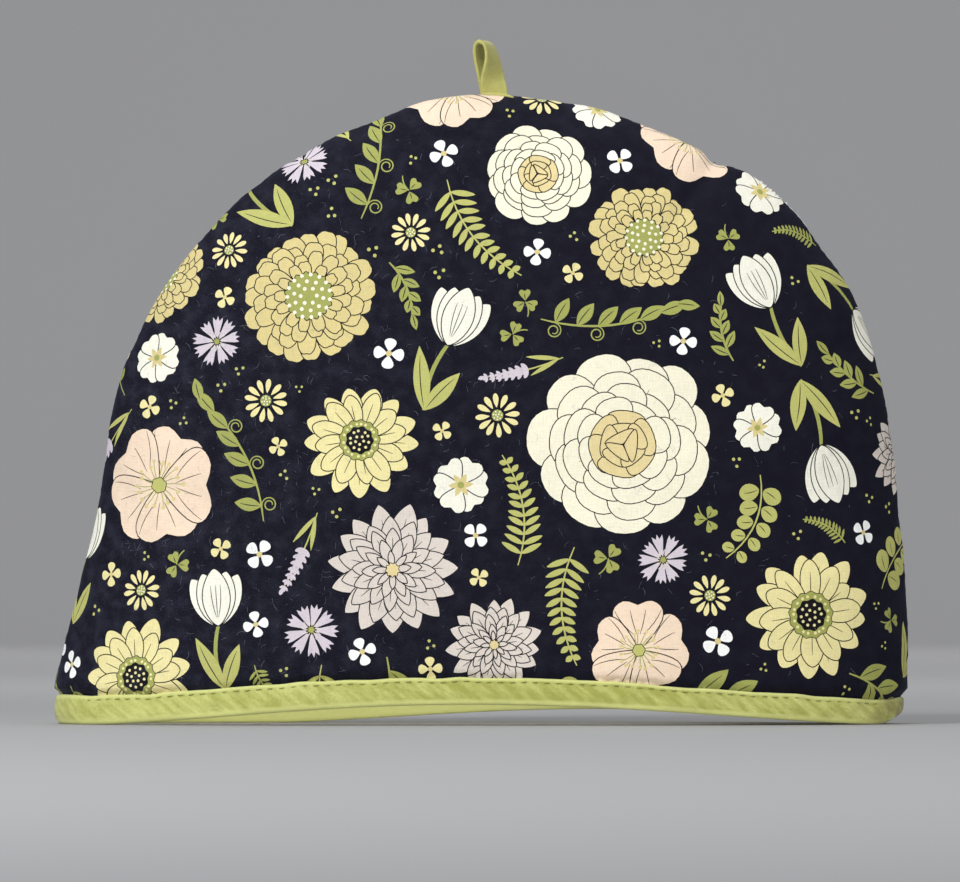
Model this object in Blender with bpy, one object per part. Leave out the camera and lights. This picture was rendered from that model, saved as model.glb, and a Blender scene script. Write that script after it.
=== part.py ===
"""A padded dome-shaped tea cosy in printed cotton, standing open on its bound hem.

Metres. The origin is on the floor at the middle of the hem, +X is the wearer's right of the
front face, the front face looks to -Y and +Z is up.
"""
import math

import bmesh
import bpy
import numpy as np

MM = 0.001

# Driving dimensions, in millimetres
CENTRE_X = 3.3            # line that the dome's radii spring from
SPRING_HEIGHT = 90.0      # height at which the straight skirt turns into the dome
GRID_HEIGHT = 112.0       # middle of the panel's grid
HEM_HALF_DEPTH = 50.0     # front to back, half, at the hem
CROWN_HALF_DEPTH = 34.0   # the same, towards the crown
CROWN_HEIGHT = 250.0
ROLL_WIDTH = 118.0        # how far in from the seam the panel still curves
WALL = 8.0                # padded wall
SEAM_GAP = 0.15           # each panel's sewn edge off the seam plane
GROOVE = 3.0              # how far the sewn edge is pulled in
GROOVE_REACH = 3.2
RIDGE = 1.2               # how far the seam line lies outside the ridge beside it
PINCH = 2.1               # how far the binding squeezes the outer face in
PINCHED_WALL = 4.4
GRID = 32                 # cells along each side of a panel

BINDING_GAP = 0.45        # between the binding and the panel inside it
BINDING_THICK = 1.2
BINDING_STATIONS = 64
PANEL_LIFT = 1.7          # panel's lower edge above the underside of the binding

LOOP_WIDTH = 11.0
LOOP_THICK = 1.4
LOOP_X = 4.7              # foot of the hanging loop
LOOP_STEPS = 30

# Half outline of each side, from the hem up: height, left edge, right edge
OUTLINE = (
    (0.0, -171.7, 168.8),
    (15.0, -171.0, 170.1),
    (35.0, -167.7, 171.2),
    (58.0, -162.0, 170.3),
    (82.0, -155.9, 167.9),
    (106.0, -152.3, 165.9),
    (131.0, -148.3, 162.1),
    (155.0, -139.0, 155.3),
    (179.0, -126.7, 145.5),
    (203.0, -107.5, 128.7),
    (217.8, -89.9, 111.9),
    (227.3, -74.9, 95.3),
    (237.0, -59.6, 75.6),
    (246.8, -35.5, 47.7),
    (251.6, -19.9, 24.1),
)
APEX = (2.9, 253.6)

# Small lobes and dips of the seam: direction from the dome's centre in degrees, half-width
# in degrees, how far it stands out in millimetres
SEAM_LOBES = (
    (56.5, 2.0, -2.4),
    (50.5, 3.6, 0.9),
    (38.0, 4.0, -0.7),
    (27.0, 5.0, 0.8),
    (72.0, 5.0, 0.6),
    (108.0, 6.0, -0.8),
    (121.0, 5.0, 0.7),
    (136.0, 5.0, -0.7),
    (158.0, 7.0, 0.8),
)

# Broad dents and swellings of the padding: x, z, radius, depth
DENTS = (
    (-96.0, 70.0, 46.0, -1.6),
    (-30.0, 150.0, 58.0, 1.4),
    (62.0, 96.0, 52.0, -1.5),
    (104.0, 168.0, 40.0, 1.3),
    (-78.0, 176.0, 38.0, -1.1),
    (16.0, 208.0, 44.0, -1.2),
    (8.0, 44.0, 48.0, 1.3),
    (128.0, 40.0, 34.0, 0.9),
)

# Half of the hanging loop, foot to top: height above the foot, half gap between the legs'
# middles, sideways lean, turn of the strip in degrees
LOOP_PROFILE = (
    (0.0, 0.80, 0.0, 2.0),
    (3.0, 1.10, -0.5, 12.0),
    (7.0, 1.80, -1.3, 30.0),
    (11.0, 2.45, -2.2, 48.0),
    (15.0, 2.75, -3.1, 62.0),
    (18.5, 2.60, -3.9, 71.0),
    (21.0, 1.80, -4.4, 75.0),
    (22.2, 0.0, -4.7, 76.0),
)

GAUSS_X, GAUSS_W = np.polynomial.legendre.leggauss(10)


def smooth(value, low, high):
    """Smooth step from 0 at low to 1 at high."""
    t = np.clip((value - low) / (high - low), 0.0, 1.0)
    return t * t * (3.0 - 2.0 * t)


def spline(points, per_span):
    """Catmull-Rom curve through the points."""
    pts = np.asarray(points, dtype=float)
    pts = np.vstack((2 * pts[0] - pts[1], pts, 2 * pts[-1] - pts[-2]))
    t = np.linspace(0.0, 1.0, per_span, endpoint=False)[:, None]
    spans = []
    for p0, p1, p2, p3 in zip(pts, pts[1:], pts[2:], pts[3:]):
        spans.append(0.5 * (2 * p1 + (p2 - p0) * t + (2 * p0 - 5 * p1 + 4 * p2 - p3) * t ** 2
                            + (3 * p1 - p0 - 3 * p2 + p3) * t ** 3))
    return np.vstack(spans + [pts[-2:-1]])


def outline_curve():
    """The cosy's outline from the right end of the hem over the crown to the left end."""
    right = [(r, z) for z, _, r in OUTLINE]
    left = [(l, z) for z, l, _ in reversed(OUTLINE)]
    return spline(right + [APEX] + left, 24)


CURVE = outline_curve()
TOP = CURVE[CURVE[:, 1] >= SPRING_HEIGHT]
TOP_ANGLE = np.arctan2(TOP[:, 1] - SPRING_HEIGHT, TOP[:, 0] - CENTRE_X)
TOP_RADIUS = np.hypot(TOP[:, 1] - SPRING_HEIGHT, TOP[:, 0] - CENTRE_X)
RIGHT = CURVE[: len(CURVE) // 2]
LEFT = CURVE[len(CURVE) // 2:][::-1]


def reach(x, z):
    """Unit direction away from the middle, and the outline's distance that way."""
    dx = x - CENTRE_X
    dz = np.maximum(z - SPRING_HEIGHT, 0.0)
    radius = np.maximum(np.hypot(dx, dz), 1e-6)
    angle = np.arctan2(dz, dx)
    dome = np.interp(angle, TOP_ANGLE, TOP_RADIUS)
    for at, half, out in SEAM_LOBES:
        dome = dome + out * np.exp(-((np.degrees(angle) - at) / half) ** 2)
    right = np.interp(z, RIGHT[:, 1], RIGHT[:, 0]) - CENTRE_X
    left = CENTRE_X - np.interp(z, LEFT[:, 1], LEFT[:, 0])
    skirt = np.where(dx >= 0.0, right, left)
    rho = np.where(z >= SPRING_HEIGHT, dome, skirt) + RIDGE * smooth(z, 13.0, 34.0)
    return dx / radius, dz / radius, rho, radius


def half_depth(z):
    return HEM_HALF_DEPTH + (CROWN_HALF_DEPTH - HEM_HALF_DEPTH) * smooth(z, 0.0, CROWN_HEIGHT)


def quarter_arc(depth):
    """Length of a quarter of the ellipse that the panel rolls off on."""
    a, b = ROLL_WIDTH, depth
    return math.pi / 4 * (3 * (a + b) - np.sqrt((3 * a + b) * (a + 3 * b)))


def roll_angle(length, depth):
    """Ellipse parameter at a length along the cloth from the seam."""
    full = quarter_arc(depth)
    phi = np.clip(length / full, 0.0, 1.0) * math.pi / 2
    for _ in range(5):
        t = phi[..., None] * (GAUSS_X + 1.0) / 2.0
        speed = np.hypot(ROLL_WIDTH * np.sin(t), depth[..., None] * np.cos(t))
        arc = (speed * GAUSS_W).sum(-1) * phi / 2.0
        slope = np.hypot(ROLL_WIDTH * np.sin(phi), depth * np.cos(phi))
        phi = np.clip(phi + (length - arc) / slope, 0.0, math.pi / 2)
    return np.where(length >= full, math.pi / 2, phi)


def hem_height(x, front):
    """How far the hem arches off the floor."""
    if front:
        reach_out = np.where(x < 14.0, 172.0, 158.0)
        return 8.3 * np.cos(np.clip((x - 14.0) / reach_out, -1, 1) * math.pi / 2) ** 2
    return 4.2 * np.cos(np.clip((x - 46.0) / 118.0, -1, 1) * math.pi / 2) ** 2


def dents(x, z, front):
    """Uneven padding, gone at the hem and the seam."""
    side = 1.0 if front else -1.0
    total = np.zeros_like(x)
    for at_x, at_z, radius, out in DENTS:
        total += out * np.exp(-((x - side * at_x) ** 2 + (z - at_z) ** 2) / radius ** 2)
    total += 0.7 * np.sin(x / 19.0 + 1.7 * np.sin(z / 31.0)) * np.sin(z / 23.0 + 0.6)
    return total


def shell(u, v, inward, front, groove=0.0):
    """Point of the padded wall over a flat pattern point (u, v), in millimetres.

    inward is the distance in from the outer face, groove the pull of the seam there.
    """
    nx, nz, rho, radius = reach(u, v)
    depth = half_depth(v)
    quarter = quarter_arc(depth)
    length = np.maximum(rho + quarter - ROLL_WIDTH - radius, 0.0)
    phi = roll_angle(length, depth)
    inset = ROLL_WIDTH * (1 - np.cos(phi)) + np.maximum(length - quarter, 0.0)
    steep = np.hypot(np.cos(phi) / ROLL_WIDTH, np.sin(phi) / depth)
    out_r = np.cos(phi) / ROLL_WIDTH / steep
    out_d = np.sin(phi) / depth / steep
    swell = dents(u, v, front) * smooth(length, 4.0, 60.0) * smooth(v, 20.0, 60.0) - inward
    pull = groove * GROOVE * np.exp(-(length / GROOVE_REACH) ** 2) * smooth(v, 13.0, 34.0)
    r = rho - inset + out_r * swell - pull
    d = SEAM_GAP + depth * np.sin(phi) + out_d * swell
    z = np.minimum(v, SPRING_HEIGHT) + nz * r
    return np.stack((CENTRE_X + nx * r, -d if front else d, z), axis=-1), out_r


def rim(fraction, front):
    """Point on the flat pattern's edge: 0 at the right end of the hem, 1 at the left."""
    angle = np.linspace(0.0, math.pi, 181)
    far = 400.0
    _, _, rho, _ = reach(CENTRE_X + far * np.cos(angle), SPRING_HEIGHT + far * np.sin(angle))
    height = SPRING_HEIGHT + (rho + 18.0) * np.sin(angle)
    extra = quarter_arc(half_depth(height)) - ROLL_WIDTH
    crown = np.stack((CENTRE_X + (rho + extra) * np.cos(angle),
                      SPRING_HEIGHT + (rho + extra) * np.sin(angle)), axis=-1)
    up = np.linspace(0.0, SPRING_HEIGHT, 30, endpoint=False)
    extra = quarter_arc(half_depth(up)) - ROLL_WIDTH + RIDGE * smooth(up, 13.0, 34.0)
    right = np.stack((np.interp(up, RIGHT[:, 1], RIGHT[:, 0]) + extra, up), axis=-1)
    left = np.stack((np.interp(up, LEFT[:, 1], LEFT[:, 0]) - extra, up), axis=-1)
    right[0, 1] = hem_height(right[0, 0], front) + PANEL_LIFT
    left[0, 1] = hem_height(left[0, 0], front) + PANEL_LIFT
    path = np.vstack((right, crown, left[::-1]))
    run = np.concatenate(((0.0,), np.cumsum(np.hypot(*np.diff(path, axis=0).T))))
    at = fraction * run[-1]
    return np.stack((np.interp(at, run, path[:, 0]), np.interp(at, run, path[:, 1])), axis=-1)


def hem_spread(a):
    """Position along the hem, -1 to 1, with the steps crowded at the rounded ends."""
    return np.sin(a * 1.42) / math.sin(1.42)


def crowd(ring):
    """Ring position from the middle of the panel (0) to its edge (1), crowded at the edge."""
    return np.sin(ring * math.pi / 2) ** 0.92


def panel_pattern(grid_xy, front):
    """Flat pattern points for grid points that run from -1 to 1 both ways."""
    a, b = grid_xy[:, 0], grid_xy[:, 1]
    ring = np.maximum(np.abs(a), np.abs(b))
    safe = np.maximum(ring, 1e-9)
    a_edge, b_edge = a / safe, b / safe
    on_hem = b_edge <= -1 + 1e-6
    on_crown = (b_edge >= 1 - 1e-6) & ~on_hem
    on_right = (a_edge > 0) & ~on_hem & ~on_crown
    up_side = (b_edge + 1) / 6
    fraction = np.where(on_crown, 0.5 - a_edge / 6, np.where(on_right, up_side, 1 - up_side))
    edge = rim(fraction, front)
    corner_r, corner_l = rim(np.array((0.0, 1.0)), front)
    hem_x = corner_l[0] + (hem_spread(a_edge) + 1) / 2 * (corner_r[0] - corner_l[0])
    hem = np.stack((hem_x, hem_height(hem_x, front) + PANEL_LIFT), axis=-1)
    edge = np.where(on_hem[:, None], hem, edge)
    middle = np.array((CENTRE_X, GRID_HEIGHT))
    return middle + (edge - middle) * crowd(ring)[:, None]


def cloth(name, colour, roughness):
    material = bpy.data.materials.new(name)
    material.use_nodes = True
    shader = material.node_tree.nodes["Principled BSDF"]
    shader.inputs["Base Color"].default_value = (*colour, 1.0)
    shader.inputs["Roughness"].default_value = roughness
    return material


def finish(bm, name, material, collection):
    """Turn the bmesh into one closed, outward-facing object."""
    bmesh.ops.recalc_face_normals(bm, faces=bm.faces)
    bmesh.ops.triangulate(bm, faces=bm.faces)
    if bm.calc_volume(signed=True) < 0:
        bmesh.ops.reverse_faces(bm, faces=bm.faces)
    mesh = bpy.data.meshes.new(name)
    bm.to_mesh(mesh)
    bm.free()
    mesh.materials.append(material)
    for polygon in mesh.polygons:
        polygon.use_smooth = True
    obj = bpy.data.objects.new(name, mesh)
    collection.objects.link(obj)
    return obj


def place(verts, points):
    for vert, point in zip(verts, points):
        vert.co = point * MM


def build_panel(name, front, material, collection):
    """One padded panel: an outer and an inner face joined round their edge."""
    bm = bmesh.new()
    bmesh.ops.create_grid(bm, x_segments=GRID, y_segments=GRID, size=1.0)
    outer = list(bm.verts)
    doubled = bmesh.ops.extrude_face_region(bm, geom=list(bm.faces), use_keep_orig=True)
    inner = [item for item in doubled["geom"] if isinstance(item, bmesh.types.BMVert)]
    for verts, is_outer in ((outer, True), (inner, False)):
        flat = np.array([(v.co.x, v.co.y) for v in verts])
        pattern = panel_pattern(flat, front)
        u, v = pattern[:, 0], pattern[:, 1]
        above_hem = v - hem_height(u, front)
        squeeze = 1.0 - smooth(above_hem, 13.5, 23.0)
        if is_outer:
            inward = PINCH * squeeze
        else:
            inward = WALL + (PINCH + PINCHED_WALL - WALL) * squeeze
        points, _ = shell(u, v, inward, front, groove=1.0 if is_outer else 0.0)
        place(verts, points)
    return finish(bm, name, material, collection)


def binding_section(height):
    """Folded strip across the hem: inward distance and height, round the section."""
    foot = BINDING_THICK
    outside = PINCH - BINDING_GAP - BINDING_THICK
    inside = PINCH + PINCHED_WALL + BINDING_GAP
    t = BINDING_THICK
    return (
        (outside + t, foot), (outside + t, height * 0.5), (outside + t, height - 0.5),
        (outside + 0.6 * t, height), (outside + 0.15 * t, height - 0.25),
        (outside, height - 1.1), (outside - 0.15, height * 0.5), (outside, 1.6),
        (outside + 0.7, 0.35), (outside + 1.9, 0.0), (inside - 0.7, 0.0),
        (inside + t - 0.7, 0.35), (inside + t, 1.6), (inside + t, height * 0.5),
        (inside + t, height - 0.8), (inside + 0.5 * t, height), (inside, height - 0.5),
        (inside, height * 0.5), (inside, foot),
    )


def build_binding(name, material, collection):
    """The bias strip folded over the hem, one closed ring."""
    sections = len(binding_section(10.0))
    half = BINDING_STATIONS // 2
    bm = bmesh.new()
    bmesh.ops.create_grid(bm, x_segments=BINDING_STATIONS, y_segments=sections, size=1.0)
    edge_r, edge_l = rim(np.array((0.0, 1.0)), True)[:, 0]
    for vert in bm.verts:
        station = round((vert.co.x + 1) / 2 * BINDING_STATIONS) % BINDING_STATIONS
        index = round((vert.co.y + 1) / 2 * sections) % sections
        front = station < half
        across = (station if front else BINDING_STATIONS - station) / half
        x = edge_l + (edge_r - edge_l) * (hem_spread(1 - 2 * across) + 1) / 2
        height = 10.9 - 0.95 * x / 170.0 + 0.25 * math.sin(x / 17.0)
        inward, up = binding_section(height)[index]
        u = np.array((x,))
        lift = hem_height(u, front)
        point, _ = shell(u, lift + up, inward, front)
        if station in (0, half):
            point[0, 1] = 0.0
        vert.co = point[0] * MM
    bmesh.ops.remove_doubles(bm, verts=bm.verts, dist=0.00001)
    return finish(bm, name, material, collection)


def build_loop(name, material, collection):
    """The hanging loop: a folded strip, both ends down in the seam, turning as it rises."""
    half = spline(LOOP_PROFILE, 6)
    rise = np.hypot(np.diff(half[:, 0]), np.diff(half[:, 1]))
    run = np.concatenate(((0.0,), np.cumsum(rise)))
    whole = np.vstack((half * (1, -1, 1, 1), half[::-1][1:]))
    length = np.concatenate((run, 2 * run[-1] - run[::-1][1:]))
    at = np.linspace(0.0, length[-1], LOOP_STEPS + 1)
    height, gap, lean, turn = (np.interp(at, length, whole[:, k]) for k in range(4))
    _, _, rho, _ = reach(np.array((LOOP_X,)), np.array((300.0,)))
    foot_z = SPRING_HEIGHT + float(rho[0]) - 1.9
    w, t = LOOP_WIDTH / 2, LOOP_THICK / 2
    section = ((w, 0.0), (w - 0.3, t * 0.8), (w * 0.5, t), (0.0, t), (-w * 0.5, t),
               (0.3 - w, t * 0.8), (-w, 0.0), (0.3 - w, -t * 0.8), (-w * 0.5, -t), (0.0, -t),
               (w * 0.5, -t), (w - 0.3, -t * 0.8))
    sides = len(section)
    d_gap = np.gradient(gap, at)
    d_height = np.gradient(height, at)
    bm = bmesh.new()
    bmesh.ops.create_grid(bm, x_segments=LOOP_STEPS, y_segments=sides, size=1.0)
    for vert in bm.verts:
        k = round((vert.co.x + 1) / 2 * LOOP_STEPS)
        across, out = section[round((vert.co.y + 1) / 2 * sides) % sides]
        size = math.hypot(d_gap[k], d_height[k])
        along_gap = gap[k] - out * d_height[k] / size
        along_z = height[k] + out * d_gap[k] / size
        yaw = math.radians(turn[k])
        x = LOOP_X + lean[k] + across * math.cos(yaw) - along_gap * math.sin(yaw)
        y = across * math.sin(yaw) + along_gap * math.cos(yaw)
        vert.co = (x * MM, y * MM, (foot_z + along_z) * MM)
    bmesh.ops.remove_doubles(bm, verts=bm.verts, dist=0.00001)
    ends = [edge for edge in bm.edges if edge.is_boundary]
    bmesh.ops.holes_fill(bm, edges=ends, sides=0)
    return finish(bm, name, material, collection)


def main():
    for obj in list(bpy.data.objects):
        bpy.data.objects.remove(obj, do_unlink=True)
    collection = bpy.data.collections.new("tea_cosy")
    bpy.context.scene.collection.children.link(collection)
    front_cloth = cloth("cotton_print_front", (0.018, 0.019, 0.034), 0.85)
    back_cloth = cloth("cotton_print_back", (0.018, 0.019, 0.034), 0.85)
    binding_cloth = cloth("bias_binding", (0.42, 0.43, 0.13), 0.8)
    loop_cloth = cloth("loop_cotton", (0.36, 0.37, 0.11), 0.8)
    build_panel("front_panel", True, front_cloth, collection)
    build_panel("back_panel", False, back_cloth, collection)
    build_binding("hem_binding", binding_cloth, collection)
    build_loop("hanging_loop", loop_cloth, collection)


main()
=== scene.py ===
"""A padded tea cosy in printed cotton, standing open on its bound hem, for a studio render."""

import logging
import math
from dataclasses import dataclass, field
from enum import Enum
from typing import Callable

import bmesh
import bpy
import numpy as np
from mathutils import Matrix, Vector
from mathutils.geometry import delaunay_2d_cdt


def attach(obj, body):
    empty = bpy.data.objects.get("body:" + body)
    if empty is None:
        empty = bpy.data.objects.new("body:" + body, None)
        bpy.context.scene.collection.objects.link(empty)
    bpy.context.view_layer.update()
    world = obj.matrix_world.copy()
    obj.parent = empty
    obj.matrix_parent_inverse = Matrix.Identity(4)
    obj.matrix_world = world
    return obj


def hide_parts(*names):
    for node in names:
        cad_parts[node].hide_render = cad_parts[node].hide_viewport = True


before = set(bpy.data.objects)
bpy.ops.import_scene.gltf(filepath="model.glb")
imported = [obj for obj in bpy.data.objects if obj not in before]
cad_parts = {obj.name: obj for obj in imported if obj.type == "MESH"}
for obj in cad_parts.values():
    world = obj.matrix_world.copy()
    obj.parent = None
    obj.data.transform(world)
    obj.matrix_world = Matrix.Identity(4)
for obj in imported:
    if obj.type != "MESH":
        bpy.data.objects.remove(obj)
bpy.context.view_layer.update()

MM = 0.001
# millimetres of cloth in one unit of a weave map, and such units in a metre
UV_UNIT = 100.0
UV_PER_METRE = 10.0
# farther out than any point of the cosy, in millimetres
FAR = 400.0
ROOT = "root"
LOG = logging.getLogger("tea_cosy")


def srgb(red: float, green: float, blue: float) -> tuple[float, float, float]:
    """Linear colour of an sRGB one given from 0 to 255."""
    return tuple(
        c / 12.92 if c <= 0.04045 else ((c + 0.055) / 1.055) ** 2.4
        for c in (red / 255, green / 255, blue / 255)
    )


class Side(Enum):
    """The two faces of the cosy; the value is the sign of Y that the face looks to."""

    FRONT = -1
    BACK = 1


class Tone(Enum):
    """Dyes of the printed cloth and of its plain reverse."""

    NAVY = srgb(12, 10, 25)
    INK = srgb(13, 10, 16)
    CREAM = srgb(237, 231, 205)
    IVORY = srgb(236, 233, 216)
    TAN = srgb(222, 203, 148)
    GOLD = srgb(212, 195, 134)
    PEACH = srgb(234, 210, 184)
    BLUSH = srgb(214, 203, 192)
    YELLOW = srgb(229, 217, 156)
    OLIVE = srgb(158, 161, 86)
    MOSS = srgb(184, 183, 106)
    LILAC = srgb(204, 193, 200)
    WHITE = srgb(242, 241, 236)
    CALICO = srgb(214, 206, 186)


TONES = list(Tone)


def eased(share: np.ndarray) -> np.ndarray:
    """Share of a way, made slow at both ends."""
    return share * share * (3.0 - 2.0 * share)


def smooth_step(value: np.ndarray, low: float, high: float) -> np.ndarray:
    """Smooth step from 0 at low to 1 at high."""
    return eased(np.clip((value - low) / (high - low), 0.0, 1.0))


def running(steps: np.ndarray) -> np.ndarray:
    """Way run at the start and after each step."""
    return np.concatenate(((0.0,), np.cumsum(steps)))


def left_of(along: np.ndarray) -> np.ndarray:
    """Unit vectors square to flat directions, on their left."""
    size = np.maximum(np.hypot(along[:, 0], along[:, 1]), 1e-9)[:, None]
    return np.stack((-along[:, 1], along[:, 0]), axis=-1) / size


def distance_to(points: np.ndarray, line: np.ndarray) -> np.ndarray:
    """Distance from each flat point to the nearest point of a line."""
    return np.hypot(*(points[:, None] - line[None]).transpose(2, 0, 1)).min(axis=1)


def between(corner: Callable, x: np.ndarray, y: np.ndarray) -> np.ndarray:
    """Eased values between the corners of a lattice with cells of 1 unit.

    Args:
        corner: gives the values at whole numbers of column and row.
        x: columns of the places.
        y: rows of the places.

    Returns:
        The values at the places.
    """
    xi, yi = np.floor(x).astype(np.int64), np.floor(y).astype(np.int64)
    fx, fy = eased(x - xi), eased(y - yi)
    low = corner(xi, yi) * (1 - fx) + corner(xi + 1, yi) * fx
    high = corner(xi, yi + 1) * (1 - fx) + corner(xi + 1, yi + 1) * fx
    return low * (1 - fy) + high * fy


def catmull_rom(points: list, per_span: int) -> np.ndarray:
    """Smooth curve through points.

    Args:
        points: the points that the curve passes through.
        per_span: points on each span.

    Returns:
        The curve, one row a point.
    """
    pts = np.asarray(points, dtype=float)
    pts = np.vstack((2 * pts[0] - pts[1], pts, 2 * pts[-1] - pts[-2]))
    t = np.linspace(0.0, 1.0, per_span, endpoint=False)[:, None]
    spans = []
    for p0, p1, p2, p3 in zip(pts, pts[1:], pts[2:], pts[3:]):
        spans.append(0.5 * (2 * p1 + (p2 - p0) * t + (2 * p0 - 5 * p1 + 4 * p2 - p3) * t ** 2
                            + (3 * p1 - p0 - 3 * p2 + p3) * t ** 3))
    return np.vstack(spans + [pts[-2:-1]])


def soft_noise(x: np.ndarray, y: np.ndarray, seed: int) -> np.ndarray:
    """Smooth repeatable noise from -1 to 1 with features about 1 unit apart."""
    def lattice(i: np.ndarray, j: np.ndarray) -> np.ndarray:
        """Random value of each lattice point."""
        h = (i * 374761393 + j * 668265263 + seed * 974711) & 0xFFFFFFFF
        h = ((h ^ (h >> 13)) * 1274126177) & 0xFFFFFFFF
        return ((h ^ (h >> 16)) & 0xFFFF) / 32767.5 - 1.0

    return between(lattice, x, y)


@dataclass
class CosyForm:
    """Shape of the cosy in millimetres: where each point of the flat cloth lies."""

    centre_x: float = 3.3
    spring_height: float = 90.0
    hem_half_depth: float = 50.0
    crown_half_depth: float = 34.0
    crown_height: float = 250.0
    roll_width: float = 118.0
    wall: float = 8.0
    seam_gap: float = 0.15
    groove: float = 3.0
    groove_reach: float = 3.2
    ridge: float = 1.2
    ridge_rise: tuple = (11.6, 14.8)
    upturn: tuple = (166.0, 187.0)
    pinch: float = 2.1
    pinched_wall: float = 4.4
    panel_lift: float = 1.7
    pucker_depth: float = 0.75
    # radius that turns a direction into a length along the seam
    seam_radius: float = 163.0
    # how much higher than the seam the edge of the flat cloth is taken to lie
    edge_rise: float = 18.0
    # rows from the hem up: height, left edge, right edge
    outline: tuple = (
        (0.0, -171.7, 168.8), (15.0, -171.7, 170.1), (35.0, -167.7, 171.2),
        (58.0, -162.0, 170.3), (82.0, -155.9, 167.9), (106.0, -152.3, 165.9),
        (131.0, -148.3, 162.1), (155.0, -139.0, 155.3), (179.0, -126.7, 145.5),
        (203.0, -107.5, 128.7), (217.8, -89.9, 111.9), (227.3, -74.9, 95.3),
        (237.0, -59.6, 75.6), (246.8, -35.5, 47.7), (251.6, -19.9, 24.1),
    )
    apex: tuple = (2.9, 253.6)
    # small lobes and dips of the seam: direction in degrees, half-width, how far out
    lobes: tuple = (
        (56.5, 1.6, -2.6), (50.5, 3.6, 0.9), (38.0, 4.0, -0.7), (27.0, 5.0, 0.8),
        (72.0, 5.0, 0.6), (108.0, 6.0, -0.8), (121.0, 5.0, 0.7), (136.0, 5.0, -0.7),
        (158.0, 7.0, 0.8),
    )
    # broad dents and swellings of the padding: x, z, radius, depth
    dents: tuple = (
        (-96.0, 70.0, 46.0, -1.6), (-30.0, 150.0, 58.0, 1.4), (62.0, 96.0, 52.0, -1.5),
        (104.0, 168.0, 40.0, 1.3), (-78.0, 176.0, 38.0, -1.1), (16.0, 208.0, 44.0, -1.2),
        (8.0, 44.0, 48.0, 1.3), (128.0, 40.0, 34.0, 0.9),
    )

    def __post_init__(self) -> None:
        """Read the outline into tables of radius by direction and by height."""
        right = [(r, z) for z, _, r in self.outline]
        left = [(l, z) for z, l, _ in reversed(self.outline)]
        curve = catmull_rom(right + [self.apex] + left, 24)
        top = curve[curve[:, 1] >= self.spring_height]
        self.top_angle = np.arctan2(top[:, 1] - self.spring_height, top[:, 0] - self.centre_x)
        self.top_radius = np.hypot(top[:, 1] - self.spring_height, top[:, 0] - self.centre_x)
        self.right = curve[: len(curve) // 2]
        self.left = curve[len(curve) // 2:][::-1]
        self.gauss = np.polynomial.legendre.leggauss(10)

    def reach(self, x: np.ndarray, z: np.ndarray) -> tuple:
        """Direction away from the middle, the outline's distance that way, and the point's."""
        dx = x - self.centre_x
        dz = np.maximum(z - self.spring_height, 0.0)
        radius = np.maximum(np.hypot(dx, dz), 1e-6)
        angle = np.arctan2(dz, dx)
        dome = np.interp(angle, self.top_angle, self.top_radius)
        for at, half, out in self.lobes:
            dome = dome + out * np.exp(-((np.degrees(angle) - at) / half) ** 2)
        right = np.interp(z, self.right[:, 1], self.right[:, 0]) - self.centre_x
        left = self.centre_x - np.interp(z, self.left[:, 1], self.left[:, 0])
        skirt = np.where(dx >= 0.0, right, left)
        rho = np.where(z >= self.spring_height, dome, skirt)
        rho = rho + self.ridge * smooth_step(z, *self.ridge_rise)
        return dx / radius, dz / radius, rho, radius

    def half_depth(self, z: np.ndarray) -> np.ndarray:
        """Half the cosy's depth, front to back, at a height."""
        drop = self.crown_half_depth - self.hem_half_depth
        return self.hem_half_depth + drop * smooth_step(z, 0.0, self.crown_height)

    def quarter_arc(self, depth: np.ndarray) -> np.ndarray:
        """Length of a quarter of the ellipse that the panel rolls off on."""
        a, b = self.roll_width, depth
        return math.pi / 4 * (3 * (a + b) - np.sqrt((3 * a + b) * (a + 3 * b)))

    def roll_angle(self, length: np.ndarray, depth: np.ndarray) -> np.ndarray:
        """Ellipse parameter at a length along the cloth from the seam."""
        nodes, weights = self.gauss
        full = self.quarter_arc(depth)
        phi = np.clip(length / full, 0.0, 1.0) * math.pi / 2
        for _ in range(4):
            t = phi[..., None] * (nodes + 1.0) / 2.0
            speed = np.hypot(self.roll_width * np.sin(t), depth[..., None] * np.cos(t))
            arc = (speed * weights).sum(-1) * phi / 2.0
            slope = np.hypot(self.roll_width * np.sin(phi), depth * np.cos(phi))
            phi = np.clip(phi + (length - arc) / slope, 0.0, math.pi / 2)
        return np.where(length >= full, math.pi / 2, phi)

    def hem_height(self, x: np.ndarray, side: Side) -> np.ndarray:
        """How far the hem arches off the floor."""
        top, at, left, right = (8.3, -6.0, 158.0, 174.0)
        if side is Side.BACK:
            top, at, left, right = (5.4, 46.0, 130.0, 120.0)
        share = np.clip((x - at) / np.where(x < at, left, right), -1, 1)
        return top * np.cos(share * math.pi / 2) ** 1.5 + 4.0 * smooth_step(x, *self.upturn)

    def binding_top(self, x: np.ndarray) -> np.ndarray:
        """Height of the binding's folded edge above the hem; it gets low at the right end."""
        uneven = 0.3 * soft_noise(x / 9.0, 0 * x, 88) - 3.1 * smooth_step(x, *self.upturn)
        return 10.9 - 0.8 * x / 170.0 + 0.25 * np.sin(x / 17.0) + uneven

    def broad_relief(self, x: np.ndarray, z: np.ndarray, side: Side) -> np.ndarray:
        """Uneven padding over the whole panel."""
        sign = -side.value
        total = np.zeros_like(x)
        for at_x, at_z, radius, out in self.dents:
            total += out * np.exp(-((x - sign * at_x) ** 2 + (z - at_z) ** 2) / radius ** 2)
        return total + 0.7 * np.sin(x / 19.0 + 1.7 * np.sin(z / 31.0)) * np.sin(z / 23.0 + 0.6)

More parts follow.
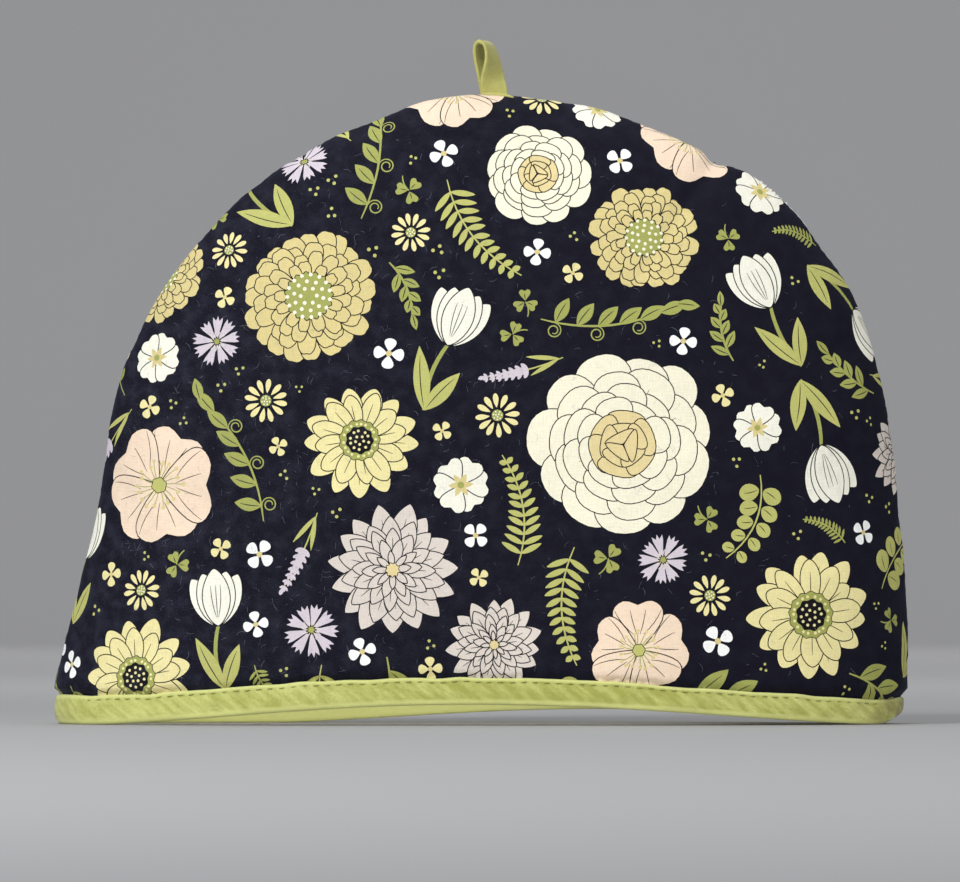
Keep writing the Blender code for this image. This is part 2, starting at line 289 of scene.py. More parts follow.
    def fine_relief(self, u: np.ndarray, v: np.ndarray, length: np.ndarray,
                    side: Side) -> np.ndarray:
        """Puckers along the seam, gathers over the hem and soft crumples between."""
        seed = 11 if side is Side.FRONT else 47
        angle = np.arctan2(np.maximum(v - self.spring_height, 0.0), u - self.centre_x)
        below = np.maximum(self.spring_height - v, 0.0)
        along = angle * self.seam_radius + np.where(u < self.centre_x, below, -below)
        wander = 3.0 * soft_noise(along / 31.0, length / 20.0, seed)
        strength = 0.55 + 0.45 * soft_noise(along / 60.0, 0 * along, seed + 1)
        pucker = strength * soft_noise((along + wander) / 7.5, length / 38.0, seed + 2)
        pucker = self.pucker_depth * pucker * np.exp(-(length / 13.0) ** 1.3)
        nip = 0.3 * soft_noise(along / 2.6, length / 9.0, seed + 3) * np.exp(-length / 3.5)
        over_hem = np.maximum(v - self.hem_height(u, side) - 11.5, 0.0)
        gather = 0.34 * soft_noise(u / 6.5, over_hem / 25.0, seed + 4) * np.exp(-over_hem / 9.0)
        crumple = 0.55 * soft_noise(u / 34.0, v / 27.0, seed + 5)
        crumple += 0.16 * soft_noise(u / 12.0 + 0.03 * v, v / 15.0, seed + 6)
        return pucker + nip + gather + crumple * smooth_step(length, 2.0, 26.0)

    def place(self, u: np.ndarray, v: np.ndarray, inward: np.ndarray, side: Side,
              groove: float = 0.0, fine: float = 0.0) -> np.ndarray:
        """Put points of the flat cloth where they lie on the cosy.

        Args:
            u: across the flat pattern, in millimetres.
            v: up the flat pattern.
            inward: distance in from the cloth's outer face.
            side: which face of the cosy.
            groove: share of the seam's pull that the point feels.
            fine: share of the fine relief.

        Returns:
            Points in metres, one row each.
        """
        nx, nz, rho, radius = self.reach(u, v)
        depth = self.half_depth(v)
        quarter = self.quarter_arc(depth)
        length = np.maximum(rho + quarter - self.roll_width - radius, 0.0)
        phi = self.roll_angle(length, depth)
        inset = self.roll_width * (1 - np.cos(phi)) + np.maximum(length - quarter, 0.0)
        steep = np.hypot(np.cos(phi) / self.roll_width, np.sin(phi) / depth)
        out_r = np.cos(phi) / self.roll_width / steep
        out_d = np.sin(phi) / depth / steep
        swell = self.broad_relief(u, v, side) * smooth_step(length, 4.0, 60.0)
        swell = swell * smooth_step(v, 20.0, 60.0) - inward
        if fine:
            hem_fade = smooth_step(v - self.hem_height(u, side), 11.0, 15.0)
            relief = self.fine_relief(u, v, length, side) * hem_fade
            swell = swell + fine * relief * smooth_step(length, 0.0, 1.5)
        pull = groove * self.groove * np.exp(-(length / self.groove_reach) ** 2)
        pull = pull * smooth_step(v, 13.0, 34.0)
        r = rho - inset + out_r * swell - pull
        d = self.seam_gap + depth * np.sin(phi) + out_d * swell
        z = np.minimum(v, self.spring_height) + nz * r
        return np.stack((self.centre_x + nx * r, side.value * d, z), axis=-1) * MM

    def roll_excess(self, z: np.ndarray) -> np.ndarray:
        """How much longer the cloth over the rolled-off side is than the roll is wide."""
        return self.quarter_arc(self.half_depth(z)) - self.roll_width

    def edge_radius(self, angle: np.ndarray) -> np.ndarray:
        """Distance of the flat pattern's edge from the dome's middle, by direction."""
        rho = self.reach(self.centre_x + FAR * np.cos(angle),
                         self.spring_height + FAR * np.sin(angle))[2]
        rise = self.spring_height + (rho + self.edge_rise) * np.sin(angle)
        return rho + self.roll_excess(rise)

    def hem_ends(self, side: Side) -> tuple[float, float]:
        """Left and right end of the hem on the flat pattern."""
        seam = self.rim(2.0, side)[0]
        return seam[-1, 0], seam[0, 0]

    def rim(self, spacing: float, side: Side) -> tuple[np.ndarray, np.ndarray]:
        """Edge of the flat pattern.

        Args:
            spacing: distance between points, in millimetres.
            side: which face of the cosy.

        Returns:
            The sewn edge from the right end of the hem to the left, and the hem's own
            edge from the left back to the right, without their shared ends.
        """
        angle = np.linspace(0.0, math.pi, 361)
        radius = self.edge_radius(angle)
        crown = np.stack((self.centre_x + radius * np.cos(angle),
                          self.spring_height + radius * np.sin(angle)), axis=-1)
        skirt = []
        for line, sign in ((self.right, 1), (self.left, -1)):
            corner = line[0, 0] + sign * self.roll_excess(0.0)
            foot = self.hem_height(corner, side) + self.panel_lift
            up = np.linspace(float(foot), self.spring_height, 60, endpoint=False)
            extra = self.roll_excess(up) + self.ridge * smooth_step(up, *self.ridge_rise)
            skirt.append(np.stack((np.interp(up, line[:, 1], line[:, 0]) + sign * extra, up), -1))
        path = np.vstack((skirt[0], crown, skirt[1][::-1]))
        run = running(np.hypot(*np.diff(path, axis=0).T))
        at = np.linspace(0.0, run[-1], int(run[-1] / spacing) + 1)
        seam = np.stack((np.interp(at, run, path[:, 0]), np.interp(at, run, path[:, 1])), -1)
        count = int((seam[0, 0] - seam[-1, 0]) / spacing)
        hem_x = np.linspace(seam[-1, 0], seam[0, 0], count + 1)[1:-1]
        hem = np.stack((hem_x, self.hem_height(hem_x, side) + self.panel_lift), -1)
        return seam, hem


@dataclass(frozen=True)
class Patch:
    """One flat area of dye: a closed outline in millimetres, and its dye."""

    outline: np.ndarray
    tone: Tone


class Motif:
    """A printed motif, drawn back to front round its own origin, growing along +X."""

    def __init__(self, seed: int) -> None:
        """Start an empty motif with its own run of random numbers."""
        self.patches: list[Patch] = []
        self.rng = np.random.default_rng(seed)

    def jitter(self, amount: float) -> float:
        """Random number from -amount to amount."""
        return float(self.rng.uniform(-amount, amount))

    def fill(self, points: np.ndarray, tone: Tone) -> None:
        """Add one closed area."""
        self.patches.append(Patch(points, tone))

    def outlined(self, points: np.ndarray, tone: Tone, line: float = 0.42,
                 ink: Tone = Tone.INK) -> None:
        """Add a closed area with a thin line round its edge.

        Args:
            points: the area's edge, anticlockwise.
            tone: the dye inside.
            line: the line's width.
            ink: the line's dye.
        """
        self.fill(points, ink)
        ahead, behind = np.roll(points, -1, axis=0), np.roll(points, 1, axis=0)
        self.fill(points + line * left_of(ahead - behind), tone)

    def stroke(self, points: np.ndarray, width: float, tone: Tone, taper: float = 0.25) -> None:
        """Add a line of dye along points, narrowed to a share of its width at both ends."""
        pts = np.asarray(points, dtype=float)
        normal = left_of(np.gradient(pts, axis=0))
        t = np.linspace(0, math.pi, len(pts))
        half = (width / 2 * (taper + (1 - taper) * np.sin(t) ** 0.5))[:, None]
        self.fill(np.vstack((pts - half * normal, (pts + half * normal)[::-1])), tone)

    def dot(self, x: float, y: float, radius: float, tone: Tone, sides: int = 8) -> None:
        """Add a small round spot."""
        a = np.linspace(0, 2 * math.pi, sides, endpoint=False)
        self.fill(np.stack((x + radius * np.cos(a), y + radius * np.sin(a)), -1), tone)

    def disc(self, radius: float, tone: Tone, ruffle: float = 0.05, waves: int = 7,
             line: float = 0.3) -> None:
        """Add a wavy disc at the middle, with a thin line round it."""
        a = np.linspace(0, 2 * math.pi, max(16, waves * 5), endpoint=False)
        r = radius * (1 + ruffle * np.sin(waves * a + self.jitter(3.0)))
        self.outlined(np.stack((r * np.cos(a), r * np.sin(a)), -1), tone, line)

    def turned(self, angle: float, x: float, y: float) -> list[Patch]:
        """The motif's patches, turned by an angle in degrees and moved to a place."""
        return [Patch(spun(p.outline, angle, x, y), p.tone) for p in self.patches]


def petal_edge(length: float, width: float, fat: float = 1.3, round_off: float = 0.62,
               start: float = 0.0, notch: float = 0.0) -> np.ndarray:
    """Edge of a petal or leaf that grows along +X.

    Args:
        length: from root to tip.
        width: at its widest.
        fat: over 1 moves the widest place towards the tip.
        round_off: under 1 gives a rounded tip, over 1 a pointed one.
        start: where the root lies.
        notch: how far the tip is nicked in.

    Returns:
        A closed edge, anticlockwise.
    """
    steps = 7 + int(min(10.0, max(length, width) / 2.2))
    t = (1 - np.cos(np.linspace(0, math.pi, steps))) / 2
    half = width / 2 * np.maximum(np.sin(math.pi * t ** fat), 0) ** round_off
    nick = notch * np.exp(-(half / (0.16 * width)) ** 2) * smooth_step(t, 0.7, 1.0)
    x = start + length * t - nick
    return np.vstack((np.stack((x, -half), -1), np.stack((x, half), -1)[-2:0:-1]))


def spun(points: np.ndarray, degrees: float, x: float = 0.0, y: float = 0.0) -> np.ndarray:
    """Points turned about the origin and then moved."""
    c, s = math.cos(math.radians(degrees)), math.sin(math.radians(degrees))
    return points @ np.array(((c, s), (-s, c))) + (x, y)


def polar(radius: float, angle: float) -> tuple[float, float]:
    """Place at a distance and an angle in radians from the origin."""
    return radius * math.cos(angle), radius * math.sin(angle)


def on_stem(size: float, bow: float, t: float) -> tuple[float, float]:
    """Place on a bowed stem along +X, at a share t of its length."""
    return t * size, bow * 4 * t * (1 - t) * size


def arc_line(x0: float, y0: float, x1: float, y1: float, bow: float, steps: int = 7) -> np.ndarray:
    """Bowed line between two places; bow is a share of its length, to its left."""
    t = np.linspace(0, 1, steps)
    dx, dy = x1 - x0, y1 - y0
    lift = bow * 4 * t * (1 - t)
    return np.stack((x0 + dx * t - dy * lift, y0 + dy * t + dx * lift), axis=-1)


class MotifKind(Enum):
    """Motifs of the print."""

    CAMELLIA = "camellia"
    ZINNIA = "zinnia"
    DAHLIA = "dahlia"
    WILD_ROSE = "wild rose"
    SUNFLOWER = "sunflower"
    TULIP = "tulip"
    PRIMROSE = "primrose"
    CORNFLOWER = "cornflower"
    MARIGOLD = "marigold"
    SPEEDWELL = "speedwell"
    TREFOIL = "trefoil"
    LEAF_SPRIG = "leaf sprig"
    FERN = "fern"
    HAWTHORN = "hawthorn"
    LAVENDER = "lavender"
    GUM_LEAVES = "gum leaves"
    VINE = "vine"
    SEED = "seed"


class MotifDrawer:
    """Draws each kind of motif at a size."""

    def draw(self, kind: MotifKind, size: float, seed: int, tone: Tone | None) -> Motif:
        """Draw one motif.

        Args:
            kind: which motif.
            size: radius of a flower or length of a sprig, in millimetres.
            seed: for its small unevenness.
            tone: its main dye, or None for its usual one.

        Returns:
            The motif round its own origin.
        """
        motif = Motif(seed)
        method = getattr(self, kind.name.lower())
        if tone is None:
            method(motif, size)
        else:
            method(motif, size, tone)
        return motif

    def ring(self, m: Motif, count: int, length: float, width: float, tone: Tone, offset: float,
             veins: int = 2, fat: float = 1.45, round_off: float = 0.55, start: float = 0.0,
             notch: float = 0.0, spread: float = 1.0) -> None:
        """Add a ring of outlined petals with fine veins.

        Args:
            m: the motif to draw in.
            count: petals in the ring.
            length: of a petal.
            width: of a petal.
            tone: the petals' dye.
            offset: turn of the first petal in degrees.
            veins: fine lines on each petal.
            fat: see petal_edge.
            round_off: see petal_edge.
            start: distance of the roots from the middle.
            notch: see petal_edge.
            spread: how unevenly the petals lie, 0 to 1.
        """
        for k in range(count):
            at = offset + 360.0 * k / count + m.jitter(5.0) * spread
            long = length * (1 + m.jitter(0.06) * spread)
            wide = width * (1 + m.jitter(0.10) * spread)
            m.outlined(spun(petal_edge(long, wide, fat, round_off, start, notch), at), tone)
            for j in range(veins):
                lean = (j - (veins - 1) / 2) * wide * 0.30
                line = arc_line(start + 0.30 * long, 0.2 * lean, start + long * 0.76,
                                lean, 0.04 * (j - (veins - 1) / 2), 5)
                m.stroke(spun(line, at), 0.32, Tone.INK, 0.5)

    def stamens(self, m: Motif, radius: float, rings: tuple, tone: Tone) -> None:
        """Add rings of small dots; rings holds pairs of share of radius and count."""
        for share, count in rings:
            for k in range(count):
                a = 2 * math.pi * (k + share) / count + m.jitter(0.1)
                m.dot(*polar(radius * share, a), 0.055 * radius + 0.24, tone, 6)

    def camellia(self, m: Motif, size: float, tone: Tone = Tone.CREAM) -> None:
        """Full double bloom: rings of round petals down to a closed bud."""
        heart = Tone.TAN if tone is Tone.CREAM else tone
        rings = ((11, 1.0, tone), (10, 0.82, tone), (9, 0.66, tone), (8, 0.51, tone),
                 (6, 0.37, heart), (5, 0.25, heart), (3, 0.15, heart))
        for k, (count, share, dye) in enumerate(rings):
            wide = size * share * 6.9 / count
            self.ring(m, count, size * share, wide, dye, 17.0 * k, 1 if k < 3 else 0, 2.1, 0.42)

    def zinnia(self, m: Motif, size: float, tone: Tone = Tone.GOLD) -> None:
        """Bloom of many narrow blunt petals round a crown of florets."""
        for k, (count, share) in enumerate(((20, 1.0), (18, 0.85), (16, 0.70), (13, 0.55))):
            self.ring(m, count, size * share, size * share * 0.36, tone, 9.0 * k, 0, 2.4, 0.42,
                      notch=size * 0.02)
        m.disc(size * 0.36, Tone.OLIVE, 0.07, 15, 0.4)
        for share, count in ((0.9, 15), (0.62, 10), (0.34, 6)):
            for k in range(count):
                a = 2 * math.pi * (k + share) / count
                m.dot(*polar(size * 0.36 * share, a), size * 0.026 + 0.15, Tone.CREAM, 7)

    def dahlia(self, m: Motif, size: float, tone: Tone = Tone.BLUSH) -> None:
        """Bloom of pointed petals in five rings."""
        for k, (count, share) in enumerate(((15, 1.0), (14, 0.82), (12, 0.64), (10, 0.47),
                                            (8, 0.31))):
            self.ring(m, count, size * share, size * share * 0.40, tone, 11.0 * k,
                      1 if k < 3 else 0, 1.25, 0.72)
        m.disc(size * 0.11, Tone.TAN, 0.12, 9)

    def wild_rose(self, m: Motif, size: float, tone: Tone = Tone.PEACH) -> None:
        """Open bloom of five heart-shaped petals with a spray of fine stamens."""
        self.ring(m, 5, size, size * 1.14, tone, 8.0, 4, 1.9, 0.42, notch=size * 0.13)
        for k in range(18):
            a = 2 * math.pi * k / 18 + m.jitter(0.08)
            tip = polar(size * (0.36 + m.jitter(0.05)), a)
            m.stroke(arc_line(0, 0, *tip, 0.05, 4), 0.38, Tone.OLIVE, 0.7)
            m.dot(*tip, 0.028 * size + 0.2, Tone.GOLD, 6)
        m.disc(size * 0.13, Tone.MOSS, 0.06, 6)

    def sunflower(self, m: Motif, size: float, tone: Tone = Tone.YELLOW) -> None:
        """Bloom with long overlapping petals round a seeded disc."""
        self.ring(m, 13, size, size * 0.40, tone, 0.0, 1, 1.5, 0.55)
        self.ring(m, 12, size * 0.84, size * 0.36, tone, 14.0, 1, 1.5, 0.55)
        m.disc(size * 0.36, Tone.OLIVE, 0.04, 13)
        m.disc(size * 0.24, Tone.INK, 0.06, 9)
        self.stamens(m, size * 0.30, ((0.25, 5), (0.55, 10), (0.95, 18)), tone)

    def tulip(self, m: Motif, size: float, tone: Tone = Tone.IVORY) -> None:
        """Cup-shaped bloom seen from its side, on a stem with two long leaves."""
        m.stroke(arc_line(-size, 0, 0, 0, 0.08, 9), 0.05 * size + 0.3, Tone.OLIVE, 0.8)
        for sign, reach in ((1, 0.92), (-1, 0.74)):
            edge = spun(petal_edge(size * reach, size * 0.24, 0.9, 0.9), sign * 24, -size, 0)
            m.fill(edge, Tone.MOSS)
            m.stroke(spun(arc_line(0.05 * size, 0, size * reach * 0.85, 0, 0.03), sign * 24,
                          -size, 0), 0.4, Tone.NAVY)
        for lean, wide in ((26, 0.40), (-26, 0.40), (13, 0.42), (-13, 0.42), (0, 0.46)):
            petal = petal_edge(size * (0.86 + 0.04 * (lean == 0)), size * wide, 1.0, 0.62)
            m.outlined(spun(petal, lean, -0.02 * size, 0), tone, 0.42)
        for lean in (-7, 0, 7):
            m.stroke(spun(arc_line(size * 0.12, 0, size * 0.62, 0, lean * 0.006), lean), 0.32,
                     Tone.INK, 0.4)

    def primrose(self, m: Motif, size: float, tone: Tone = Tone.IVORY) -> None:
        """Small flat bloom of six heart-shaped petals with a star at its eye."""
        self.ring(m, 6, size, size * 0.94, tone, 0.0, 0, 2.0, 0.42, notch=size * 0.14, spread=0.4)
        for k in range(6):
            edge = petal_edge(size * 0.42, size * 0.20, 0.8, 0.9)
            m.fill(spun(edge, 60.0 * k), Tone.GOLD)
        m.dot(0, 0, size * 0.12, Tone.OLIVE)

    def cornflower(self, m: Motif, size: float, tone: Tone = Tone.LILAC) -> None:
        """Small ragged bloom of toothed trumpets."""
        for k in range(9):
            s, w = size * (1 + m.jitter(0.07)), size * 0.21
            trumpet = np.array(((s * 0.2, -w * 0.25), (s * 0.78, -w), (s * 0.98, -w * 1.05),
                                (s * 0.84, -w * 0.35), (s * 1.04, 0.0), (s * 0.84, w * 0.35),
                                (s * 0.98, w * 1.05), (s * 0.78, w), (s * 0.2, w * 0.25)))
            m.fill(spun(trumpet, 40.0 * k + m.jitter(3.0)), tone)
        for k in range(11):
            tip = polar(size * 0.42, 2 * math.pi * k / 11)
            m.stroke(arc_line(0, 0, *tip, 0.1, 4), 0.42, Tone.BLUSH, 0.8)
        m.disc(size * 0.15, Tone.OLIVE, 0.1, 5)

    def marigold(self, m: Motif, size: float, tone: Tone = Tone.YELLOW) -> None:
        """Small flower of narrow petals round a pale disc."""
        for k in range(12):
            edge = petal_edge(size * 0.64, size * 0.25, 1.6, 0.5, size * 0.34)
            m.fill(spun(edge, 30.0 * k + m.jitter(3.0)), tone)
        m.dot(0, 0, size * 0.26, Tone.OLIVE, 10)
        self.stamens(m, size * 0.24, ((0.3, 3), (0.75, 7)), Tone.CREAM)

    def speedwell(self, m: Motif, size: float, tone: Tone = Tone.WHITE) -> None:
        """Tiny flower of four round petals."""
        for k in range(4):
            m.fill(spun(petal_edge(size * 0.84, size * 0.78, 1.8, 0.45, size * 0.14),
                        90.0 * k + m.jitter(4.0)), tone)
        m.dot(0, 0, size * 0.20, Tone.GOLD)

    def trefoil(self, m: Motif, size: float, tone: Tone = Tone.OLIVE) -> None:
        """Clover leaf of three hearts on a short stem."""
        for k in range(3):
            edge = petal_edge(size * 0.84, size * 0.84, 2.0, 0.46, 0.08 * size, size * 0.16)
            m.fill(spun(edge, 120.0 * k + 60), tone)
            m.stroke(spun(arc_line(size * 0.15, 0, size * 0.6, 0, 0.02, 4), 120.0 * k + 60), 0.36,
                     Tone.NAVY)
        m.stroke(arc_line(0, 0, size * 1.1, size * 0.1, 0.12), 0.55, tone, 0.7)

    def leaf(self, m: Motif, x: float, y: float, at: float, length: float, width: float,
             tone: Tone, rib: Tone = Tone.NAVY) -> None:
        """Add one leaf with a midrib, rooted at a place."""
        m.fill(spun(petal_edge(length, width, 0.95, 0.9), at, x, y), tone)
        m.stroke(spun(arc_line(length * 0.06, 0, length * 0.8, 0, 0.03), at, x, y), 0.38, rib)

    def leaf_sprig(self, m: Motif, size: float, tone: Tone = Tone.OLIVE) -> None:
        """Bowed stem with broad leaves, first to one side and then to the other."""
        m.stroke(arc_line(0, 0, size, 0, 0.10, 13), 0.9, tone, 0.6)
        for k in range(7):
            t = 0.12 + 0.12 * k
            x, y = on_stem(size, 0.10, t)
            at = (-1 if k % 2 else 1) * (46 - 3 * k) + 12 * (1 - 2 * t)
            self.leaf(m, x, y, at, size * (0.36 - 0.025 * k), size * 0.15, tone)
        self.leaf(m, size * 0.96, size * 0.012, -8, size * 0.28, size * 0.12, tone)

    def fern(self, m: Motif, size: float, tone: Tone = Tone.MOSS) -> None:
        """Stem with many narrow leaflets."""
        m.stroke(arc_line(0, 0, size, 0, -0.12, 13), 0.7, tone, 0.6)
        for k in range(11):
            t = 0.10 + 0.082 * k
            x, y = on_stem(size, -0.12, t)
            reach = size * (0.22 - 0.16 * t)
            for sign in (-1, 1):
                at = sign * 62 - 14 * (1 - 2 * t) + m.jitter(4)
                m.fill(spun(petal_edge(reach, size * 0.052, 0.95, 0.7), at, x, y), tone)

    def hawthorn(self, m: Motif, size: float, tone: Tone = Tone.PEACH) -> None:
        """Thin forked stem with round berries and a few small leaves."""
        m.stroke(arc_line(0, 0, size * 0.86, 0, 0.08, 9), 0.6, Tone.OLIVE, 0.6)
        for k in range(6):
            t = 0.25 + 0.12 * k
            sign = -1 if k % 2 else 1
            x, y = on_stem(size * 0.86, 0.08, t)
            ex, ey = x + size * 0.15, y + sign * size * (0.22 - 0.10 * t)
            m.stroke(arc_line(x, y, ex, ey, 0.12 * sign), 0.45, Tone.OLIVE, 0.6)
            m.dot(ex, ey, size * 0.062, tone, 10)
            m.dot(ex + 0.03 * size, ey + 0.02 * size, size * 0.017, Tone.INK, 6)
            self.leaf(m, x, y, -sign * 48, size * 0.17, size * 0.08, Tone.OLIVE)
        m.dot(size * 0.9, 0.3, size * 0.062, tone, 10)

    def lavender(self, m: Motif, size: float, tone: Tone = Tone.LILAC) -> None:
        """Upright spike of small buds in tiers, with slim leaves at its foot."""
        m.stroke(arc_line(0, 0, size * 0.96, 0, 0.04, 9), 0.6, Tone.MOSS, 0.6)
        for sign in (-1, 1):
            edge = petal_edge(size * 0.40, size * 0.055, 0.9, 0.8)
            m.fill(spun(edge, sign * 17, size * 0.05, 0), Tone.MOSS)
        for k in range(7):
            x, y = on_stem(size, 0.04, 0.44 + 0.082 * k)
            bud = size * (0.115 - 0.008 * k)
            for at in (-52, 52, -18, 18):
                m.fill(spun(petal_edge(bud, bud * 0.46, 1.2, 0.6), at, x, y), tone)
        m.fill(petal_edge(size * 0.09, size * 0.05, 1.2, 0.6) + (size * 0.96, 0.0), tone)

    def gum_leaves(self, m: Motif, size: float, tone: Tone = Tone.MOSS) -> None:
        """Hanging stem with pairs of nearly round leaves."""
        m.stroke(arc_line(0, 0, size, 0, 0.16, 11), 0.7, tone, 0.6)
        for k in range(5):
            t = 0.14 + 0.18 * k
            x, y = on_stem(size, 0.16, t)
            for sign in (-1, 1):
                long = size * (0.23 - 0.022 * k)
                at = sign * 66 + 18 * (1 - 2 * t)
                m.fill(spun(petal_edge(long, long * 0.84, 1.1, 0.5, 0.03 * size), at, x, y), tone)
                m.stroke(spun(arc_line(0.2 * long, 0, 0.9 * long, 0, 0.04, 4), at, x, y), 0.34,
                         Tone.NAVY)

    def vine(self, m: Motif, size: float, tone: Tone = Tone.OLIVE) -> None:
        """Long stem with leaves to one side and curled tendrils to the other."""
        m.stroke(arc_line(0, 0, size, 0, -0.10, 15), 0.9, tone, 0.5)
        for k in range(6):
            t = 0.10 + 0.15 * k
            x, y = on_stem(size, -0.10, t)
            self.leaf(m, x, y, 54 - 8 * k, size * 0.20, size * 0.095, tone)
            if k % 2 == 0:
                a = np.linspace(0, 1.55 * 2 * math.pi, 22)
                radius = size * 0.055 * (1 - 0.62 * a / a[-1])
                curl = np.stack((radius * np.sin(a), -size * 0.055 + radius * np.cos(a)), -1)
                m.stroke(spun(curl, -18, x, y - 0.2), 0.55, tone, 0.7)
        self.leaf(m, size * 0.97, 0, -12, size * 0.17, size * 0.08, tone)

    def seed(self, m: Motif, size: float, tone: Tone = Tone.MOSS) -> None:
        """Loose spray of three small spots."""
        for k in range(3):
            a = math.radians(120 * k + m.jitter(20))
            m.dot(*polar(size, a), 0.42 * size, tone, 7)


def inside(points: np.ndarray, outline: np.ndarray) -> np.ndarray:
    """Whether each point lies inside a closed outline."""
    hit = np.zeros(len(points), dtype=bool)
    for (ax, ay), (bx, by) in zip(outline, np.roll(outline, -1, axis=0)):
        if ay != by:
            crosses = (ay > points[:, 1]) != (by > points[:, 1])
            hit ^= crosses & (points[:, 0] < (bx - ax) * (points[:, 1] - ay) / (by - ay) + ax)
    return hit


@dataclass(frozen=True)
class Bloom:
    """A motif chosen for a place: what, where, how big, which way and in which dye."""

    kind: MotifKind
    x: float
    y: float
    size: float
    turn: float = 0.0
    tone: Tone | None = None


@dataclass(frozen=True)
class Scatter:
    """Motifs of one kind that fall by chance: how many, and their sizes."""

    kind: MotifKind
    count: int
    small: float
    large: float
    tone: Tone | None = None


SCATTERED = (
    Scatter(MotifKind.SUNFLOWER, 2, 21, 25), Scatter(MotifKind.WILD_ROSE, 2, 19, 24),
    Scatter(MotifKind.DAHLIA, 2, 19, 23), Scatter(MotifKind.ZINNIA, 2, 18, 23),
    Scatter(MotifKind.TULIP, 5, 24, 30), Scatter(MotifKind.VINE, 3, 54, 68),
    Scatter(MotifKind.LEAF_SPRIG, 4, 38, 50), Scatter(MotifKind.FERN, 4, 38, 52),
    Scatter(MotifKind.GUM_LEAVES, 4, 32, 44), Scatter(MotifKind.LAVENDER, 5, 32, 42),
    Scatter(MotifKind.HAWTHORN, 4, 30, 38), Scatter(MotifKind.PRIMROSE, 9, 10.5, 12.5),
    Scatter(MotifKind.CORNFLOWER, 8, 9.5, 11.5), Scatter(MotifKind.LEAF_SPRIG, 7, 22, 30),
    Scatter(MotifKind.FERN, 7, 20, 30, Tone.OLIVE), Scatter(MotifKind.MARIGOLD, 14, 8, 9.5),
    Scatter(MotifKind.SPEEDWELL, 16, 5, 6.5), Scatter(MotifKind.TREFOIL, 16, 5.5, 7),
    Scatter(MotifKind.SPEEDWELL, 14, 4, 5, Tone.YELLOW), Scatter(MotifKind.SEED, 40, 1.2, 1.9),
)


class PlacedMotif:
    """A motif on the pattern, with the box and the spots that it takes up."""

    def __init__(self, patches: list[Patch]) -> None:
        """Measure the patches."""
        self.patches = patches
        points = np.vstack([p.outline for p in patches])
        middles = np.vstack([(p.outline + p.outline.mean(axis=0)) / 2 for p in patches])
        self.low, self.high = points.min(axis=0), points.max(axis=0)
        self.spots = np.vstack((points, middles))


@dataclass
class PrintLayout:
    """Spreads motifs over a flat pattern: chosen blooms first, the others by chance."""

    edge: np.ndarray
    chosen: tuple
    seed: int
    cell: float = 1.3
    gap: float = 3.3
    tries: int = 150

    def __post_init__(self) -> None:
        """Start with an empty pattern."""
        self.low = self.edge.min(axis=0) - 90
        shape = ((self.edge.max(axis=0) + 90 - self.low) / self.cell).astype(int) + 1
        self.taken = np.zeros(shape, dtype=bool)
        self.placed: list[PlacedMotif] = []
        self.drawer = MotifDrawer()

    def cells(self, motif: PlacedMotif) -> np.ndarray:
        """Cells of the pattern that a motif touches."""
        return np.unique(((motif.spots - self.low) / self.cell).astype(int), axis=0)

    def put(self, motif: PlacedMotif) -> None:
        """Keep a motif and the free ground round it."""
        self.placed.append(motif)
        cells = self.cells(motif)
        span = int(self.gap / self.cell + 0.99)
        for dx in range(-span, span + 1):
            for dy in range(-span, span + 1):
                if math.hypot(dx, dy) * self.cell <= self.gap + 0.3:
                    self.taken[cells[:, 0] + dx, cells[:, 1] + dy] = True

    def spread(self) -> list[PlacedMotif]:
        """Place every motif.

        Returns:
            The placed motifs; some run over the pattern's edge, where the cloth is cut.
        """
        rng = np.random.default_rng(self.seed)
        for k, bloom in enumerate(self.chosen):
            motif = self.drawer.draw(bloom.kind, bloom.size, self.seed + k, bloom.tone)
            self.put(PlacedMotif(motif.turned(bloom.turn, bloom.x, bloom.y)))
        for k, scatter in enumerate(SCATTERED):
            for j in range(scatter.count):
                size = float(rng.uniform(scatter.small, scatter.large))
                drawn = self.drawer.draw(scatter.kind, size, self.seed + 97 * k + j, scatter.tone)
                spots = rng.uniform(self.edge.min(axis=0) - 4, self.edge.max(axis=0) + 4,
                                    (self.tries, 2))
                for at in spots[inside(spots, self.edge)]:
                    motif = PlacedMotif(drawn.turned(float(rng.uniform(0, 360)), *at))
                    cells = self.cells(motif)
                    if not self.taken[cells[:, 0], cells[:, 1]].any():
                        self.put(motif)
                        break
        return self.placed


FRONT_BLOOMS = (
    Bloom(MotifKind.CAMELLIA, 56, 112, 37, 12), Bloom(MotifKind.ZINNIA, -70, 172, 27, 40),
    Bloom(MotifKind.DAHLIA, -36, 62, 26, 5), Bloom(MotifKind.WILD_ROSE, -132, 96, 25, 60),
    Bloom(MotifKind.SUNFLOWER, 132, 44, 26, 20), Bloom(MotifKind.CAMELLIA, 22, 222, 22, 70),
    Bloom(MotifKind.TULIP, -14, 152, 28, 70), Bloom(MotifKind.TULIP, 116, 168, 27, 118),
    Bloom(MotifKind.TULIP, -106, 40, 26, 96), Bloom(MotifKind.WILD_ROSE, 62, 30, 20, 10),
)
BACK_BLOOMS = (
    Bloom(MotifKind.CAMELLIA, -78, 88, 36, 30), Bloom(MotifKind.SUNFLOWER, 14, 52, 27, 10),
    Bloom(MotifKind.DAHLIA, 104, 96, 27, 5), Bloom(MotifKind.ZINNIA, 44, 176, 26, 60),
    Bloom(MotifKind.WILD_ROSE, -30, 216, 24, 20), Bloom(MotifKind.TULIP, -4, 124, 28, 80),
    Bloom(MotifKind.CAMELLIA, 146, 34, 22, 0), Bloom(MotifKind.WILD_ROSE, -136, 26, 21, 50),
)


